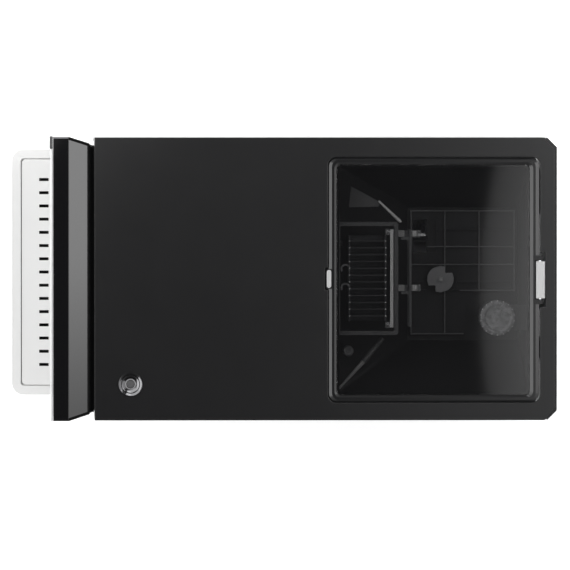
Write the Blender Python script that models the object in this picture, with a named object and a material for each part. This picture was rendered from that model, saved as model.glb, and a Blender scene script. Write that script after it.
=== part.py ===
"""Countertop ice and water dispenser, modelled as separate sub-parts.

Metres, +Z up. The origin is on the floor, under the centre of the whole machine.
-Y is the front, where a glass is filled. +X is the right-hand side seen from the front.
"""

import math

import bmesh
import bpy
from mathutils import Matrix, Vector

# ---------------------------------------------------------------- driving dimensions
GAP = 0.0003                      # left between two pieces that touch
SIDE = 0.145                      # half the cabinet's width
HEAD_SIDE = 0.1458                # half the head's width
REAR = 0.280                      # rear face; the drip tray's front edge is at -REAR
BODY_FRONT = -0.194               # front edge of the side panels and of the top cover
HEAD_FRONT = -0.2364              # front of the head's plastic shell
FACE_FRONT = -0.239               # front of the steel face plate
FOOT_HEIGHT = 0.014
SHEET = 0.0015                    # steel sheet of the side panels
TOP = 0.448                       # upper surface of the top cover and of the lid
COVER_BOTTOM = 0.438
COVER_SKIN = 0.003
HEAD_BOTTOM = 0.262               # underside of the head, the roof of the glass bay
BAY_BACK = -0.150                 # front surface of the bay's rear wall
CHAMFER = 0.010                   # rear corners of the cabinet, seen from above

OPENING_X = (-0.125, 0.127)       # lid opening in the top cover
OPENING_Y = (0.045, 0.263)
LID_CORNER = 0.009
HINGE_Y, HINGE_Z = 0.2628, 0.4474
PIN_RADIUS, PIN_BORE = 0.0011, 0.0014
BLOCK_X = (-0.018, 0.020)         # fixed hinge block behind the lid

BIN_X = (-0.117, 0.120)           # inside of the ice bin at its rim
BIN_Y = (0.055, 0.2545)
BIN_FLOOR_X = (-0.072, 0.066)
BIN_FLOOR_Y = (0.131, 0.246)
BIN_RIM_Z, BIN_BEND_Z, BIN_FLOOR_Z = 0.4395, 0.385, 0.318
BIN_WALL = 0.003
BIN_CORNER = 0.004                # inner corner radius of the bin
OUTLET_X = (-0.059, -0.025)       # hole that the ice leaves the bin by
OUTLET_Y = (0.137, 0.151)

AGITATOR = (0.0024, 0.165)        # axis of the paddle, x and y
AUGER_X, AUGER_Z = -0.042, 0.289  # axis of the auger, which runs along Y
TUBE_RADIUS, TUBE_BORE = 0.023, 0.0205
CANISTER = (0.041, 0.221)         # axis of the filter canister
BUTTON = (0.1078, -0.1572)        # axis of the power button
SPOUT_X = 0.042                   # the water side of the bay
LEVER_Y, LEVER_Z = -0.180, 0.254
EVAPORATOR_X = (-0.058, 0.058)
EVAPORATOR_Y = (0.0553, 0.118)
EVAPORATOR_Z = (0.389, 0.428)
CURTAIN_Y, CURTAIN_Z = 0.1245, 0.407
CURTAIN_ARMS = (-0.046, 0.010)    # x of the curtain's two hinge arms
FAN_Y, FAN_Z = 0.145, 0.115
COMPRESSOR = (-0.062, 0.190)

ROUND = 24                        # sides of a large round piece
SMALL_ROUND = 16

MATERIALS = {
    # name: (colour, roughness, metallic)
    "black_cover": ((0.018, 0.018, 0.019), 0.32, 0.0),
    "gloss_black": ((0.008, 0.008, 0.009), 0.10, 0.0),
    "smoked_window": ((0.05, 0.05, 0.055), 0.05, 0.0),
    "grey_sheet": ((0.55, 0.56, 0.57), 0.38, 0.9),
    "brushed_steel": ((0.66, 0.67, 0.68), 0.28, 1.0),
    "chrome": ((0.82, 0.83, 0.84), 0.08, 1.0),
    "white_plastic": ((0.84, 0.84, 0.83), 0.40, 0.0),
    "dark_plastic": ((0.03, 0.03, 0.032), 0.45, 0.0),
    "clear_plastic": ((0.72, 0.73, 0.74), 0.15, 0.0),
    "rubber": ((0.02, 0.02, 0.02), 0.80, 0.0),
    "copper": ((0.72, 0.38, 0.22), 0.30, 1.0),
    "aluminium": ((0.75, 0.76, 0.77), 0.35, 1.0),
    "black_enamel": ((0.02, 0.02, 0.022), 0.35, 0.0),
    "circuit_board": ((0.02, 0.16, 0.07), 0.50, 0.0),
}


# ---------------------------------------------------------------- helpers
def material(name):
    """The named material, made the first time it is asked for."""
    if name in bpy.data.materials:
        return bpy.data.materials[name]
    colour, roughness, metallic = MATERIALS[name]
    made = bpy.data.materials.new(name)
    made.use_nodes = True
    shader = made.node_tree.nodes["Principled BSDF"]
    shader.inputs["Base Color"].default_value = (*colour, 1.0)
    shader.inputs["Roughness"].default_value = roughness
    shader.inputs["Metallic"].default_value = metallic
    return made


def place(name, bm, look, smooth=False):
    """Turns a bmesh, which it frees, into a linked object with its material."""
    bmesh.ops.remove_doubles(bm, verts=bm.verts, dist=1e-6)
    bmesh.ops.recalc_face_normals(bm, faces=bm.faces)
    mesh = bpy.data.meshes.new(name)
    bm.to_mesh(mesh)
    bm.free()
    if smooth:
        mesh.shade_smooth()
        mesh.set_sharp_from_angle(angle=math.radians(35))
    made = bpy.data.objects.new(name, mesh)
    made.data.materials.append(material(look))
    bpy.context.scene.collection.objects.link(made)
    return made


def combine(target, helper, operation="DIFFERENCE"):
    """Cuts helper from target, or joins it on, and leaves helper out of the model."""
    helper.hide_render = True
    helper.display_type = "WIRE"
    modifier = target.modifiers.new(f"{operation.lower()}_{helper.name}", "BOOLEAN")
    modifier.operation = operation
    modifier.solver = "EXACT"
    modifier.use_self = True
    modifier.object = helper
    return target


def move_origin(obj, point):
    """Puts the object's origin on its joint's axis without moving its shape."""
    obj.data.transform(Matrix.Translation(-Vector(point)))
    obj.location = point


def add_box(bm, low, high):
    """Adds a box between two corners."""
    low, high = Vector(low), Vector(high)
    made = bmesh.ops.create_cube(bm, size=1.0)
    bmesh.ops.scale(bm, vec=high - low, verts=made["verts"])
    bmesh.ops.translate(bm, vec=(low + high) / 2, verts=made["verts"])
    return made["verts"]


def add_cylinder(bm, start, end, radius, sides=ROUND, end_radius=None):
    """Adds a round bar from start to end."""
    start, end = Vector(start), Vector(end)
    along = end - start
    turn = Vector((0, 0, 1)).rotation_difference(along).to_matrix().to_4x4()
    bmesh.ops.create_cone(
        bm, cap_ends=True, segments=sides, radius1=radius,
        radius2=radius if end_radius is None else end_radius, depth=along.length,
        matrix=Matrix.Translation((start + end) / 2) @ turn,
    )


def boxes(name, corners, look="dark_plastic"):
    """One object made of boxes, each given by its two corners."""
    bm = bmesh.new()
    for low, high in corners:
        add_box(bm, low, high)
    return place(name, bm, look)


def bars(name, rods, look="dark_plastic", sides=ROUND):
    """One object made of round bars, each given by its start, end and radius."""
    bm = bmesh.new()
    for start, end, radius in rods:
        add_cylinder(bm, start, end, radius, sides)
    return place(name, bm, look, smooth=True)


def loft(name, rings, look, smooth=False, endless=False):
    """Skins rings of the same number of points, in order, and caps the two ends.

    A wall is made by running the rings along its outside and back along its inside.
    """
    bm = bmesh.new()
    rows = [[bm.verts.new(point) for point in ring] for ring in rings]
    pairs = list(zip(rows, rows[1:]))
    if endless:
        pairs.append((rows[-1], rows[0]))
    for first, second in pairs:
        for index in range(len(first)):
            following = (index + 1) % len(first)
            bm.faces.new((first[index], first[following], second[following], second[index]))
    if not endless:
        bm.faces.new(rows[0])
        bm.faces.new(rows[-1])
    return place(name, bm, look, smooth)


def prism(name, outline, low, high, look):
    """Extrudes an outline of (x, y) points from z low to z high."""
    return loft(name, [[(x, y, z) for x, y in outline] for z in (low, high)], look)


def turned(name, profile, centre, look, sides=ROUND, axis="Z"):
    """Spins a closed profile of (radius, height) points about an axis through centre."""
    bm = bmesh.new()
    rows = [bm.verts.new((radius, 0, height)) for radius, height in profile]
    edges = [bm.edges.new(pair) for pair in zip(rows, rows[1:] + rows[:1])]
    bmesh.ops.spin(bm, geom=rows + edges, cent=(0, 0, 0), axis=(0, 0, 1),
                   angle=2 * math.pi, steps=sides, use_merge=True)
    bmesh.ops.remove_doubles(bm, verts=bm.verts, dist=1e-6)
    bmesh.ops.dissolve_degenerate(bm, dist=1e-7, edges=bm.edges)
    turn = {"Z": Matrix(), "X": Matrix.Rotation(math.pi / 2, 4, "Y"),
            "Y": Matrix.Rotation(-math.pi / 2, 4, "X")}[axis]
    bmesh.ops.transform(bm, matrix=Matrix.Translation(centre) @ turn, verts=bm.verts)
    return place(name, bm, look, smooth=True)


def rounded(x_range, y_range, radius, steps=5):
    """Outline of a rectangle with round corners, anticlockwise, as (x, y) points."""
    (x0, x1), (y0, y1) = x_range, y_range
    corners = ((x1 - radius, y1 - radius, 0), (x0 + radius, y1 - radius, 90),
               (x0 + radius, y0 + radius, 180), (x1 - radius, y0 + radius, 270))
    points = []
    for x, y, start in corners:
        for step in range(steps + 1):
            angle = math.radians(start + 90 * step / steps)
            points.append((x + radius * math.cos(angle), y + radius * math.sin(angle)))
    return points


def ring(x_range, y_range, radius, z, steps=5):
    """A round-cornered rectangle at height z, as a ring for loft."""
    return [(x, y, z) for x, y in rounded(x_range, y_range, radius, steps)]


def grown(span, by):
    """The range widened by the same amount at both ends."""
    return span[0] - by, span[1] + by


def slots(x_range, y_range, z_range, count, along, share=0.45):
    """Corners of evenly spaced boxes that fill a share of the space between along's ends."""
    spans = [x_range, y_range, z_range]
    start, end = spans[along]
    pitch = (end - start) / count
    found = []
    for index in range(count):
        middle = start + pitch * (index + 0.5)
        low = [span[0] for span in spans]
        high = [span[1] for span in spans]
        low[along] = middle - pitch * share / 2
        high[along] = middle + pitch * share / 2
        found.append((low, high))
    return found


def smooth_route(points, steps=5):
    """Points along a Catmull-Rom curve through the given ones."""
    padded = [points[0], *points, points[-1]]
    route = []
    for a, b, c, d in zip(padded, padded[1:], padded[2:], padded[3:]):
        a, b, c, d = (Vector(p) for p in (a, b, c, d))
        for step in range(steps):
            t = step / steps
            route.append(0.5 * (2 * b + (c - a) * t + (2 * a - 5 * b + 4 * c - d) * t * t
                                + (3 * b - a - 3 * c + d) * t ** 3))
    return [*route, Vector(points[-1])]


def tube(name, points, radius, look):
    """A round line along a smooth route, as a curve with filled caps."""
    route = smooth_route(points)
    curve = bpy.data.curves.new(name, "CURVE")
    curve.dimensions = "3D"
    curve.bevel_depth = radius
    curve.bevel_resolution = 2
    curve.use_fill_caps = True
    spline = curve.splines.new("POLY")
    spline.points.add(len(route) - 1)
    for knot, point in zip(spline.points, route):
        knot.co = (*point, 1.0)
    made = bpy.data.objects.new(name, curve)
    curve.materials.append(material(look))
    bpy.context.scene.collection.objects.link(made)
    return made


def helix_rings(turns, steps, rise, section):
    """Rings that carry a section of (radius, height) points up a helix about +Z."""
    rings = []
    for index in range(turns * steps + 1):
        angle = 2 * math.pi * index / steps
        lift = rise * index / steps
        rings.append([(r * math.cos(angle), r * math.sin(angle), z + lift) for r, z in section])
    return rings


# ---------------------------------------------------------------- cabinet
def base():
    """Steel pan with a low tongue at the front, which the drip tray slides on."""
    low, deck, rim = FOOT_HEIGHT + GAP, 0.0180, 0.0300
    inner_front = BAY_BACK + 0.0040
    outline = [(-0.1200, -0.236), (0.1200, -0.236), (0.1425, -0.1930), (0.1425, 0.2680),
               (-0.1425, 0.2680), (-0.1425, -0.1930)]
    pan = prism("base_pan", outline, low, deck, "grey_sheet")
    walls = boxes("base_walls", [((-0.1425, inner_front, low), (0.1425, 0.2680, rim))])
    hollow = boxes("base_hollow", [((-0.1405, inner_front + 0.002, deck),
                                    (0.1405, 0.2660, rim + 0.01))])
    combine(pan, walls, "UNION")
    combine(pan, hollow)
    for side, x in (("left", -0.115), ("right", 0.115)):
        for end, y in (("front", -0.205), ("rear", 0.238)):
            profile = [(0, 0), (0.0145, 0), (0.0160, 0.003), (0.0140, FOOT_HEIGHT), (0, FOOT_HEIGHT)]
            turned(f"foot_{end}_{side}", profile, (x, y, 0), "rubber", SMALL_ROUND)


def side_panels():
    """Folded steel sides, each with louvre slots for the condenser's air."""
    for name, side in (("left_side_panel", -1), ("right_side_panel", 1)):
        inner, outer = sorted((side * (SIDE - SHEET), side * SIDE))
        panel = boxes(name, [((inner, BODY_FRONT, 0.0182), (outer, 0.2692, COVER_BOTTOM - GAP))],
                      "grey_sheet")
        cuts = []
        for y in ((0.070, 0.136), (0.150, 0.216)):
            cuts += slots((inner - 0.01, outer + 0.01), y, (0.050, 0.170), 10, along=2)
        combine(panel, boxes(f"{name}_louvres", cuts))


def rear_panel():
    """Back sheet, bent round the two rear corners."""
    thick = 0.0016
    outer = [(-SIDE, REAR - CHAMFER), (-SIDE + CHAMFER, REAR), (SIDE - CHAMFER, REAR),
             (SIDE, REAR - CHAMFER)]
    inner = [(SIDE - thick, REAR - CHAMFER), (SIDE - CHAMFER - 0.0007, REAR - thick),
             (-SIDE + CHAMFER + 0.0007, REAR - thick), (-SIDE + thick, REAR - CHAMFER)]
    panel = prism("rear_panel", outer + inner, 0.0182, TOP - 0.0005, "grey_sheet")
    through = (REAR - 0.02, REAR + 0.01)
    cuts = slots((-0.055, 0.115), through, (0.190, 0.290), 9, along=2)
    cuts.append(((-0.1105, through[0], 0.0455), (-0.0615, through[1], 0.0745)))
    holes = boxes("rear_holes", cuts)
    round_cut = [((x, through[0], 0.060), (x, through[1], 0.060), r)
                 for x, r in ((0.030, 0.0105), (0.080, 0.0125))]
    combine(panel, holes)
    combine(panel, bars("rear_round_holes", round_cut, sides=SMALL_ROUND))


def top_cover():
    """Moulded lid of the cabinet, with the opening over the ice bin and the button's hole."""
    x, y = SIDE, 0.2781
    outline = [(-x, BODY_FRONT), (x, BODY_FRONT), (x, y - CHAMFER - 0.0009),
               (x - CHAMFER - 0.0009, y), (-x + CHAMFER + 0.0009, y), (-x, y - CHAMFER - 0.0009)]
    cover = prism("top_cover", outline, COVER_BOTTOM, TOP, "black_cover")
    skirt = 0.0025
    under = [(a * (x - skirt) / x, b - skirt if b > 0 else b + skirt) for a, b in outline]
    combine(cover, prism("cover_underside", under, COVER_BOTTOM - 0.01, TOP - COVER_SKIN,
                         "black_cover"))
    combine(cover, prism("cover_opening", rounded(OPENING_X, OPENING_Y, LID_CORNER),
                         TOP - 0.02, TOP + 0.01, "black_cover"))
    notches = [((BLOCK_X[0] - 0.009, 0.255, TOP - 0.02), (BLOCK_X[1] + 0.009, 0.2686, TOP + 0.01)),
               ((-0.0115, 0.0422, TOP - 0.02), (0.0115, 0.050, TOP + 0.01))]
    combine(cover, boxes("cover_notches", notches))
    combine(cover, bars("cover_button_hole", [((*BUTTON, TOP - 0.02), (*BUTTON, TOP + 0.01), 0.0112)]))


def bay_liner():
    """Wall, cheeks and roof of the bay for a glass, the bulkhead above it, and the levers' ears."""
    roof, wall, cheek = 0.003, 0.003, 0.003
    outer_x = SIDE - SHEET - 0.0005
    liner = boxes("bay_liner", [((-outer_x, BODY_FRONT, 0.0185),
                                 (outer_x, BAY_BACK + wall, HEAD_BOTTOM + roof))], "white_plastic")
    combine(liner, boxes("bay_space", [((-outer_x + cheek, BODY_FRONT - 0.01, 0.010),
                                        (outer_x - cheek, BAY_BACK, HEAD_BOTTOM))]))
    bulkhead = boxes("bay_bulkhead", [((-outer_x, BODY_FRONT, HEAD_BOTTOM + 0.001),
                                       (outer_x, BODY_FRONT + 0.0025, COVER_BOTTOM - GAP))])
    combine(liner, bulkhead, "UNION")
    passages = [((AUGER_X, BODY_FRONT - 0.01, AUGER_Z), (AUGER_X, BODY_FRONT + 0.01, AUGER_Z),
                 TUBE_RADIUS + GAP),
                ((0.0450, BODY_FRONT - 0.01, 0.3120), (0.0450, BODY_FRONT + 0.01, 0.3120), 0.0095)]
    combine(liner, bars("bulkhead_passages", passages))
    ears = []
    for centre in (AUGER_X, SPOUT_X):
        for offset in (-0.0205, 0.0175):
            ears.append(((centre + offset, LEVER_Y - 0.007, LEVER_Z - 0.007),
                         (centre + offset + 0.003, LEVER_Y + 0.007, HEAD_BOTTOM + 0.001)))
    combine(liner, boxes("lever_ears", ears), "UNION")
    bore = [((-0.08, LEVER_Y, LEVER_Z), (0.08, LEVER_Y, LEVER_Z), 0.0031)]
    combine(liner, bars("lever_bores", bore, sides=SMALL_ROUND))


def head():
    """Head over the bay: a shell open at the back, with a sloped top and tapering sides."""
    low = HEAD_BOTTOM
    slab_y, slope_y, neck_y, rear_y = HEAD_FRONT + 0.0160, -0.1997, -0.1992, BODY_FRONT - GAP
    stations = [(HEAD_FRONT, HEAD_SIDE, TOP), (slab_y, HEAD_SIDE, TOP), (slope_y, 0.1382, 0.4395),
                (neck_y, 0.1380, 0.4310), (rear_y, 0.1363, 0.4310)]

    def section(y, half, top, inset=0.0):
        return [(-half + inset, y, low + inset), (half - inset, y, low + inset),
                (half - inset, y, top - inset), (-half + inset, y, top - inset)]

    wall = 0.003
    outside = [section(*station) for station in stations]
    inside = [section(y, half, top, wall) for y, half, top in reversed(stations)]
    inside[-2:] = [section(HEAD_FRONT + wall, HEAD_SIDE, TOP, wall)]
    shell = loft("head_housing", outside + inside, "gloss_black")
    passages = [((-0.0645, -0.2333, low - 0.01), (-0.0195, -0.190, low + 0.01))]
    combine(shell, boxes("head_chute_hole", passages))
    spout = [((SPOUT_X, -0.214, low - 0.01), (SPOUT_X, -0.214, low + 0.01), 0.0080)]
    combine(shell, bars("head_spout_hole", spout, sides=SMALL_ROUND))

    trim_x, plate_back = -0.1330, HEAD_FRONT - GAP
    glass_x, glass_z = (-0.085, 0.085), (0.318, 0.425)
    plate = boxes("face_plate", [((trim_x, FACE_FRONT, low), (HEAD_SIDE, plate_back, TOP - 0.0015))],
                  "brushed_steel")
    combine(plate, boxes("face_window", [((glass_x[0], FACE_FRONT - 0.01, glass_z[0]),
                                          (glass_x[1], plate_back + 0.01, glass_z[1]))]))
    boxes("display_glass", [((glass_x[0] + GAP, FACE_FRONT + 0.0002, glass_z[0] + GAP),
                             (glass_x[1] - GAP, plate_back, glass_z[1] - GAP))], "gloss_black")
    boxes("face_end_trim", [((-HEAD_SIDE, FACE_FRONT - 0.001, low),
                             (trim_x - GAP, plate_back, TOP - 0.0005))], "dark_plastic")


# ---------------------------------------------------------------- lid
def lid():
    """Smoked window in a frame that is hinged at the rear of the opening."""
    play, hinge_play, step = 0.0010, 0.0012, 0.0030
    outer = (grown(OPENING_X, -play), (OPENING_Y[0] + play, OPENING_Y[1] - hinge_play))
    inner = (grown(outer[0], -0.0065), (outer[1][0] + 0.0078, outer[1][1] - 0.0097))
    crown_outer = (grown(outer[0], -0.0020), (outer[1][0] + 0.0032, outer[1][1] - 0.0036))
    crown_inner = (grown(inner[0], 0.0020), (inner[1][0] - 0.0021, inner[1][1] + 0.0036))
    ledge = tuple(grown(span, -step) for span in inner)
    low, shelf = TOP - 0.0060, TOP - 0.0047
    outer_fall, inner_fall = 0.0015, 0.0013
    rings = [ring(*outer, LID_CORNER, low), ring(*outer, LID_CORNER, TOP - outer_fall),
             ring(*crown_outer, LID_CORNER - 0.002, TOP), ring(*crown_inner, 0.0065, TOP),
             ring(*inner, 0.005, TOP - inner_fall), ring(*inner, 0.005, shelf),
             ring(*ledge, 0.003, shelf), ring(*ledge, 0.003, low)]
    frame = loft("lid_frame", rings, "black_cover", endless=True)
    combine(frame, boxes("frame_notch", [((BLOCK_X[0] - 0.0008, 0.2574, low - 0.01),
                                          (BLOCK_X[1] + 0.0008, 0.27, TOP + 0.01))]))
    ear, ear_wall = 0.0050, 0.0024
    ears = [((x, 0.2560, HINGE_Z - ear_wall), (x + ear, HINGE_Y + ear_wall, HINGE_Z + ear_wall))
            for x in (BLOCK_X[0] - 0.0060, BLOCK_X[1] + 0.0010)]
    thumb_tab = ((-0.010, 0.0434, TOP - 0.0028), (0.010, 0.0500, TOP + 0.0006))
    combine(frame, boxes("frame_ears", [*ears, thumb_tab]), "UNION")
    bore = [((-0.05, HINGE_Y, HINGE_Z), (0.05, HINGE_Y, HINGE_Z), PIN_BORE)]
    combine(frame, bars("frame_bore", bore, sides=SMALL_ROUND))
    move_origin(frame, (0, HINGE_Y, HINGE_Z))

    pane = prism("lid_window", rounded(*(grown(span, -0.0004) for span in inner), 0.0046),
                 shelf + GAP, shelf + 0.0028, "smoked_window")
    move_origin(pane, (0, HINGE_Y, HINGE_Z))

    block_top, seat, seat_top = TOP + 0.0020, COVER_BOTTOM + 0.0004, COVER_BOTTOM + 0.0044
    block = boxes("hinge_block", [((BLOCK_X[0], 0.2586, 0.4418), (BLOCK_X[1], 0.2674, block_top))],
                  "brushed_steel")
    foot = boxes("hinge_foot", [((BLOCK_X[0], 0.2630, seat), (BLOCK_X[1], 0.2740, seat_top))])
    combine(block, foot, "UNION")
    combine(block, bars("block_bore", bore, sides=SMALL_ROUND))
    pin_x = grown(BLOCK_X, 0.0058)
    bars("hinge_pin", [((pin_x[0], HINGE_Y, HINGE_Z), (pin_x[1], HINGE_Y, HINGE_Z), PIN_RADIUS)],
         "chrome", 12)


# ---------------------------------------------------------------- ice bin
def ice_bin():
    """Straight-walled tub with a flange, the sloped hopper under it, and the lid's seal."""
    flange_x, flange_y = grown(OPENING_X, 0.0020), (0.0420, 0.2605)
    outer_x, outer_y = grown(BIN_X, BIN_WALL), grown(BIN_Y, BIN_WALL)
    outer_corner = BIN_CORNER + BIN_WALL
    flange_low, bend = BIN_RIM_Z - 0.0025, BIN_BEND_Z - GAP
    walls = [
        ring(outer_x, outer_y, outer_corner, BIN_BEND_Z),
        ring(outer_x, outer_y, outer_corner, flange_low),
        ring(flange_x, flange_y, LID_CORNER, flange_low),
        ring(flange_x, flange_y, LID_CORNER, BIN_RIM_Z),
        ring(BIN_X, BIN_Y, BIN_CORNER, BIN_RIM_Z),
        ring(BIN_X, BIN_Y, BIN_CORNER, BIN_BEND_Z),
    ]
    tub = loft("ice_bin", walls, "dark_plastic", endless=True)
    line_hole = [((-0.035, 0.045, 0.405), (-0.035, 0.060, 0.405), 0.0050)]
    combine(tub, bars("bin_line_hole", line_hole, sides=SMALL_ROUND))

    slopes = [
        ring(grown(BIN_FLOOR_X, BIN_WALL), grown(BIN_FLOOR_Y, BIN_WALL), outer_corner,
             BIN_FLOOR_Z - BIN_WALL),
        ring(outer_x, outer_y, outer_corner, bend - 0.0010),
        ring(outer_x, outer_y, outer_corner, bend),
        ring(BIN_X, BIN_Y, BIN_CORNER, bend),
        ring(BIN_FLOOR_X, BIN_FLOOR_Y, BIN_CORNER, BIN_FLOOR_Z),
    ]
    hopper = loft("bin_hopper", slopes, "dark_plastic")
    below, above = BIN_FLOOR_Z - 0.02, BIN_FLOOR_Z + 0.02
    outlet = [((OUTLET_X[0], OUTLET_Y[0], below), (OUTLET_X[1], OUTLET_Y[1], above))]
    combine(hopper, boxes("bin_outlet", outlet))
    shaft_hole = [((*AGITATOR, below), (*AGITATOR, above), 0.0055)]
    combine(hopper, bars("bin_shaft_hole", shaft_hole, sides=SMALL_ROUND))

    seal_x, seal_y = (-0.1210, 0.1225), (0.0490, 0.2560)
    top, low = TOP - 0.0060 - GAP, BIN_RIM_Z + GAP
    rings = [ring(seal_x, seal_y, 0.007, low), ring(seal_x, seal_y, 0.007, top),
             ring(grown(seal_x, -0.003), grown(seal_y, -0.003), 0.005, top),
             ring(grown(seal_x, -0.003), grown(seal_y, -0.003), 0.005, low)]
    loft("lid_seal", rings, "rubber", endless=True)


def floor_grid():
    """Ribbed drain plate on the bin's floor, with a corner left free for the filter canister."""
    x0, x1, y0, y1 = -0.0690, 0.0600, 0.1340, 0.2425
    low, plate, rib = BIN_FLOOR_Z + GAP, BIN_FLOOR_Z + 0.0028, BIN_FLOOR_Z + 0.0085
    outline = [(x0, y0), (x1, y0), (x1, 0.1900), (0.0290, 0.1925), (0.0150, 0.2050),
               (0.0150, y1), (x0, y1)]
    grid = prism("floor_grid", outline, low, plate, "dark_plastic")
    rib_y = (y0, 0.1690, 0.2045, y1 - 0.0016)
    rib_x = (x0, -0.0495, -0.0320, -0.0135, 0.0046, 0.0134)
    ribs = [((x0, y, plate - 0.001), ((x1 if y < 0.19 else 0.0150), y + 0.0016, rib)) for y in rib_y]
    ribs += [((x, y0 + 0.0005, plate - 0.001), (x + 0.0016, y1 - 0.0005, rib - 0.0008)) for x in rib_x]
    ribs.append(((x1 - 0.0016, y0 + 0.0005, plate - 0.001), (x1, 0.1895, rib - 0.0004)))
    combine(grid, boxes("grid_ribs", ribs), "UNION")
    below, above = BIN_FLOOR_Z - 0.01, BIN_FLOOR_Z + 0.02
    combine(grid, boxes("grid_outlet", [((OUTLET_X[0], OUTLET_Y[0], below),
                                         (OUTLET_X[1], OUTLET_Y[1] + 0.010, above))]))
    combine(grid, bars("grid_well", [((*AGITATOR, below), (*AGITATOR, above), 0.0175)]))


def agitator():
    """Two-winged paddle on an upright shaft, and the gear motor under the bin that turns it."""
    x, y = AGITATOR
    shaft_top, foot = BIN_FLOOR_Z + 0.0160, BIN_FLOOR_Z - 0.0045
    paddle = bars("agitator", [((x, y, foot), (x, y, shaft_top), 0.0040)], "clear_plastic",
                  SMALL_ROUND)
    wing_low, wing_high = BIN_FLOOR_Z + 0.0095, BIN_FLOOR_Z + 0.0135
    reach, sweep, steps = 0.0138, 145, 7
    outline = []
    for start in (35, 215):
        for step in range(steps + 1):
            angle = math.radians(start + sweep * step / steps)
            outline.append((x + reach * math.cos(angle), y + reach * math.sin(angle)))
    combine(paddle, prism("paddle_wings", outline, wing_low, wing_high, "clear_plastic"), "UNION")
    notches = []
    for side in (-1, 1):
        notches.append(((x + side * 0.0100 - 0.0035, y - side * 0.0085 - 0.0035, wing_low - 0.01),
                        (x + side * 0.0100 + 0.0035, y - side * 0.0085 + 0.0035, wing_high + 0.01)))
    combine(paddle, boxes("paddle_notches", notches))
    move_origin(paddle, (x, y, shaft_top))

    top = foot - GAP
    bars("agitator_motor", [((x, y, top - 0.0280), (x, y, top), 0.0155)], "aluminium", SMALL_ROUND)


def canister():
    """Water-filter canister that stands in the bin's rear corner, and its lift-off cap."""
    x, y = CANISTER
    low, top = BIN_FLOOR_Z + GAP, 0.3920
    shell = turned("filter_canister", [(0, low), (0.0165, low), (0.0165, top), (0, top)],
                   (x, y, 0), "dark_plastic")
    bracket = boxes("canister_bracket", [((x - 0.0128, y + 0.010, 0.3790),
                                          (x + 0.0128, BIN_Y[1] - 0.0015, top - 0.0030))])
    combine(shell, bracket, "UNION")
    cap_top = 0.4050
    profile = [(0, top + GAP), (0.0172, top + GAP), (0.0186, top + 0.0015), (0.0186, cap_top - 0.003),
               (0.0160, cap_top), (0.0125, cap_top), (0.0115, cap_top - 0.0020), (0, cap_top - 0.0020)]
    cap = turned("filter_cap", profile, (x, y, 0), "clear_plastic")
    move_origin(cap, (x, y, top))


def evaporator():
    """Freezing block: a housing, a comb of twelve fins, and the splash curtain behind it."""
    (x0, x1), (y0, y1), (z0, z1) = EVAPORATOR_X, EVAPORATOR_Y, EVAPORATOR_Z
    wall = 0.0040
    inset_x, inset_y = grown(EVAPORATOR_X, -wall), (y0 + 0.003, y1 - wall)
    rings = [ring(EVAPORATOR_X, EVAPORATOR_Y, 0.003, z0), ring(EVAPORATOR_X, EVAPORATOR_Y, 0.003, z1),
             ring(inset_x, inset_y, 0.001, z1), ring(inset_x, inset_y, 0.001, z0)]
    housing = loft("evaporator_housing", rings, "dark_plastic", endless=True)
    arms = [((x - 0.0030, y1 - 0.001, CURTAIN_Z - 0.0034),
             (x + 0.0030, CURTAIN_Y + 0.0033, CURTAIN_Z + 0.0034)) for x in CURTAIN_ARMS]
    combine(housing, boxes("curtain_brackets", arms), "UNION")
    bore = [((x0 - 0.01, CURTAIN_Y, CURTAIN_Z), (x1 + 0.01, CURTAIN_Y, CURTAIN_Z), 0.0022)]
    combine(housing, bars("curtain_bores", bore, sides=12))
    line = [((-0.035, y0 - 0.01, 0.405), (-0.035, y0 + 0.0100, 0.405), 0.0048)]
    combine(housing, bars("housing_line_hole", line, sides=SMALL_ROUND))

    fin_y, pitch, count = (0.0690, 0.1040), 0.0070, 12
    start = -pitch * (count - 1) / 2
    plates = [((start + pitch * i - 0.0006, fin_y[0], z0 + 0.004),
               (start + pitch * i + 0.0006, fin_y[1], z1 - 0.004)) for i in range(count)]
    half = 0.0440
    comb = boxes("evaporator_comb", [((-half, fin_y[0] - 0.0020, z0 + 0.001),
                                      (half, fin_y[1] + 0.0020, z0 + 0.005))], "aluminium")
    rails = [((-half, y, z0 + 0.0005), (half, y + 0.0016, z1 - 0.006))
             for y in (fin_y[0] - 0.0020, fin_y[1] + 0.0004)]
    combine(comb, boxes("comb_rails", rails), "UNION")
    combine(comb, boxes("comb_fins", [((a[0], a[1] - 0.001, a[2]), (b[0], b[1] + 0.001, b[2]))
                                      for a, b in plates]), "UNION")

    hang = 0.3480
    span = (CURTAIN_ARMS[0] - 0.0030, CURTAIN_ARMS[1] + 0.0030)
    curtain = boxes("splash_curtain", [((-0.0500, CURTAIN_Y + 0.0052, hang),
                                        (0.0500, CURTAIN_Y + 0.0070, CURTAIN_Z + 0.0045))],
                    "clear_plastic")
    tabs = [((x + 0.0034, CURTAIN_Y - 0.0030, CURTAIN_Z - 0.0030),
             (x + 0.0064, CURTAIN_Y + 0.0060, CURTAIN_Z + 0.0030)) for x in CURTAIN_ARMS]
    tabs += [((x - 0.0034, CURTAIN_Y + 0.0060, CURTAIN_Z - 0.0030),
              (x + 0.0034, CURTAIN_Y + 0.0170, CURTAIN_Z + 0.0030)) for x in CURTAIN_ARMS]
    combine(curtain, boxes("curtain_tabs", tabs), "UNION")
    stubs = [((span[0] + 0.0004 + dx, CURTAIN_Y, CURTAIN_Z),
              (span[0] + 0.0070 + dx, CURTAIN_Y, CURTAIN_Z), 0.0018)
             for dx in (0, CURTAIN_ARMS[1] - CURTAIN_ARMS[0])]
    combine(curtain, bars("curtain_stubs", stubs, sides=12), "UNION")
    move_origin(curtain, (0, CURTAIN_Y, CURTAIN_Z))


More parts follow.
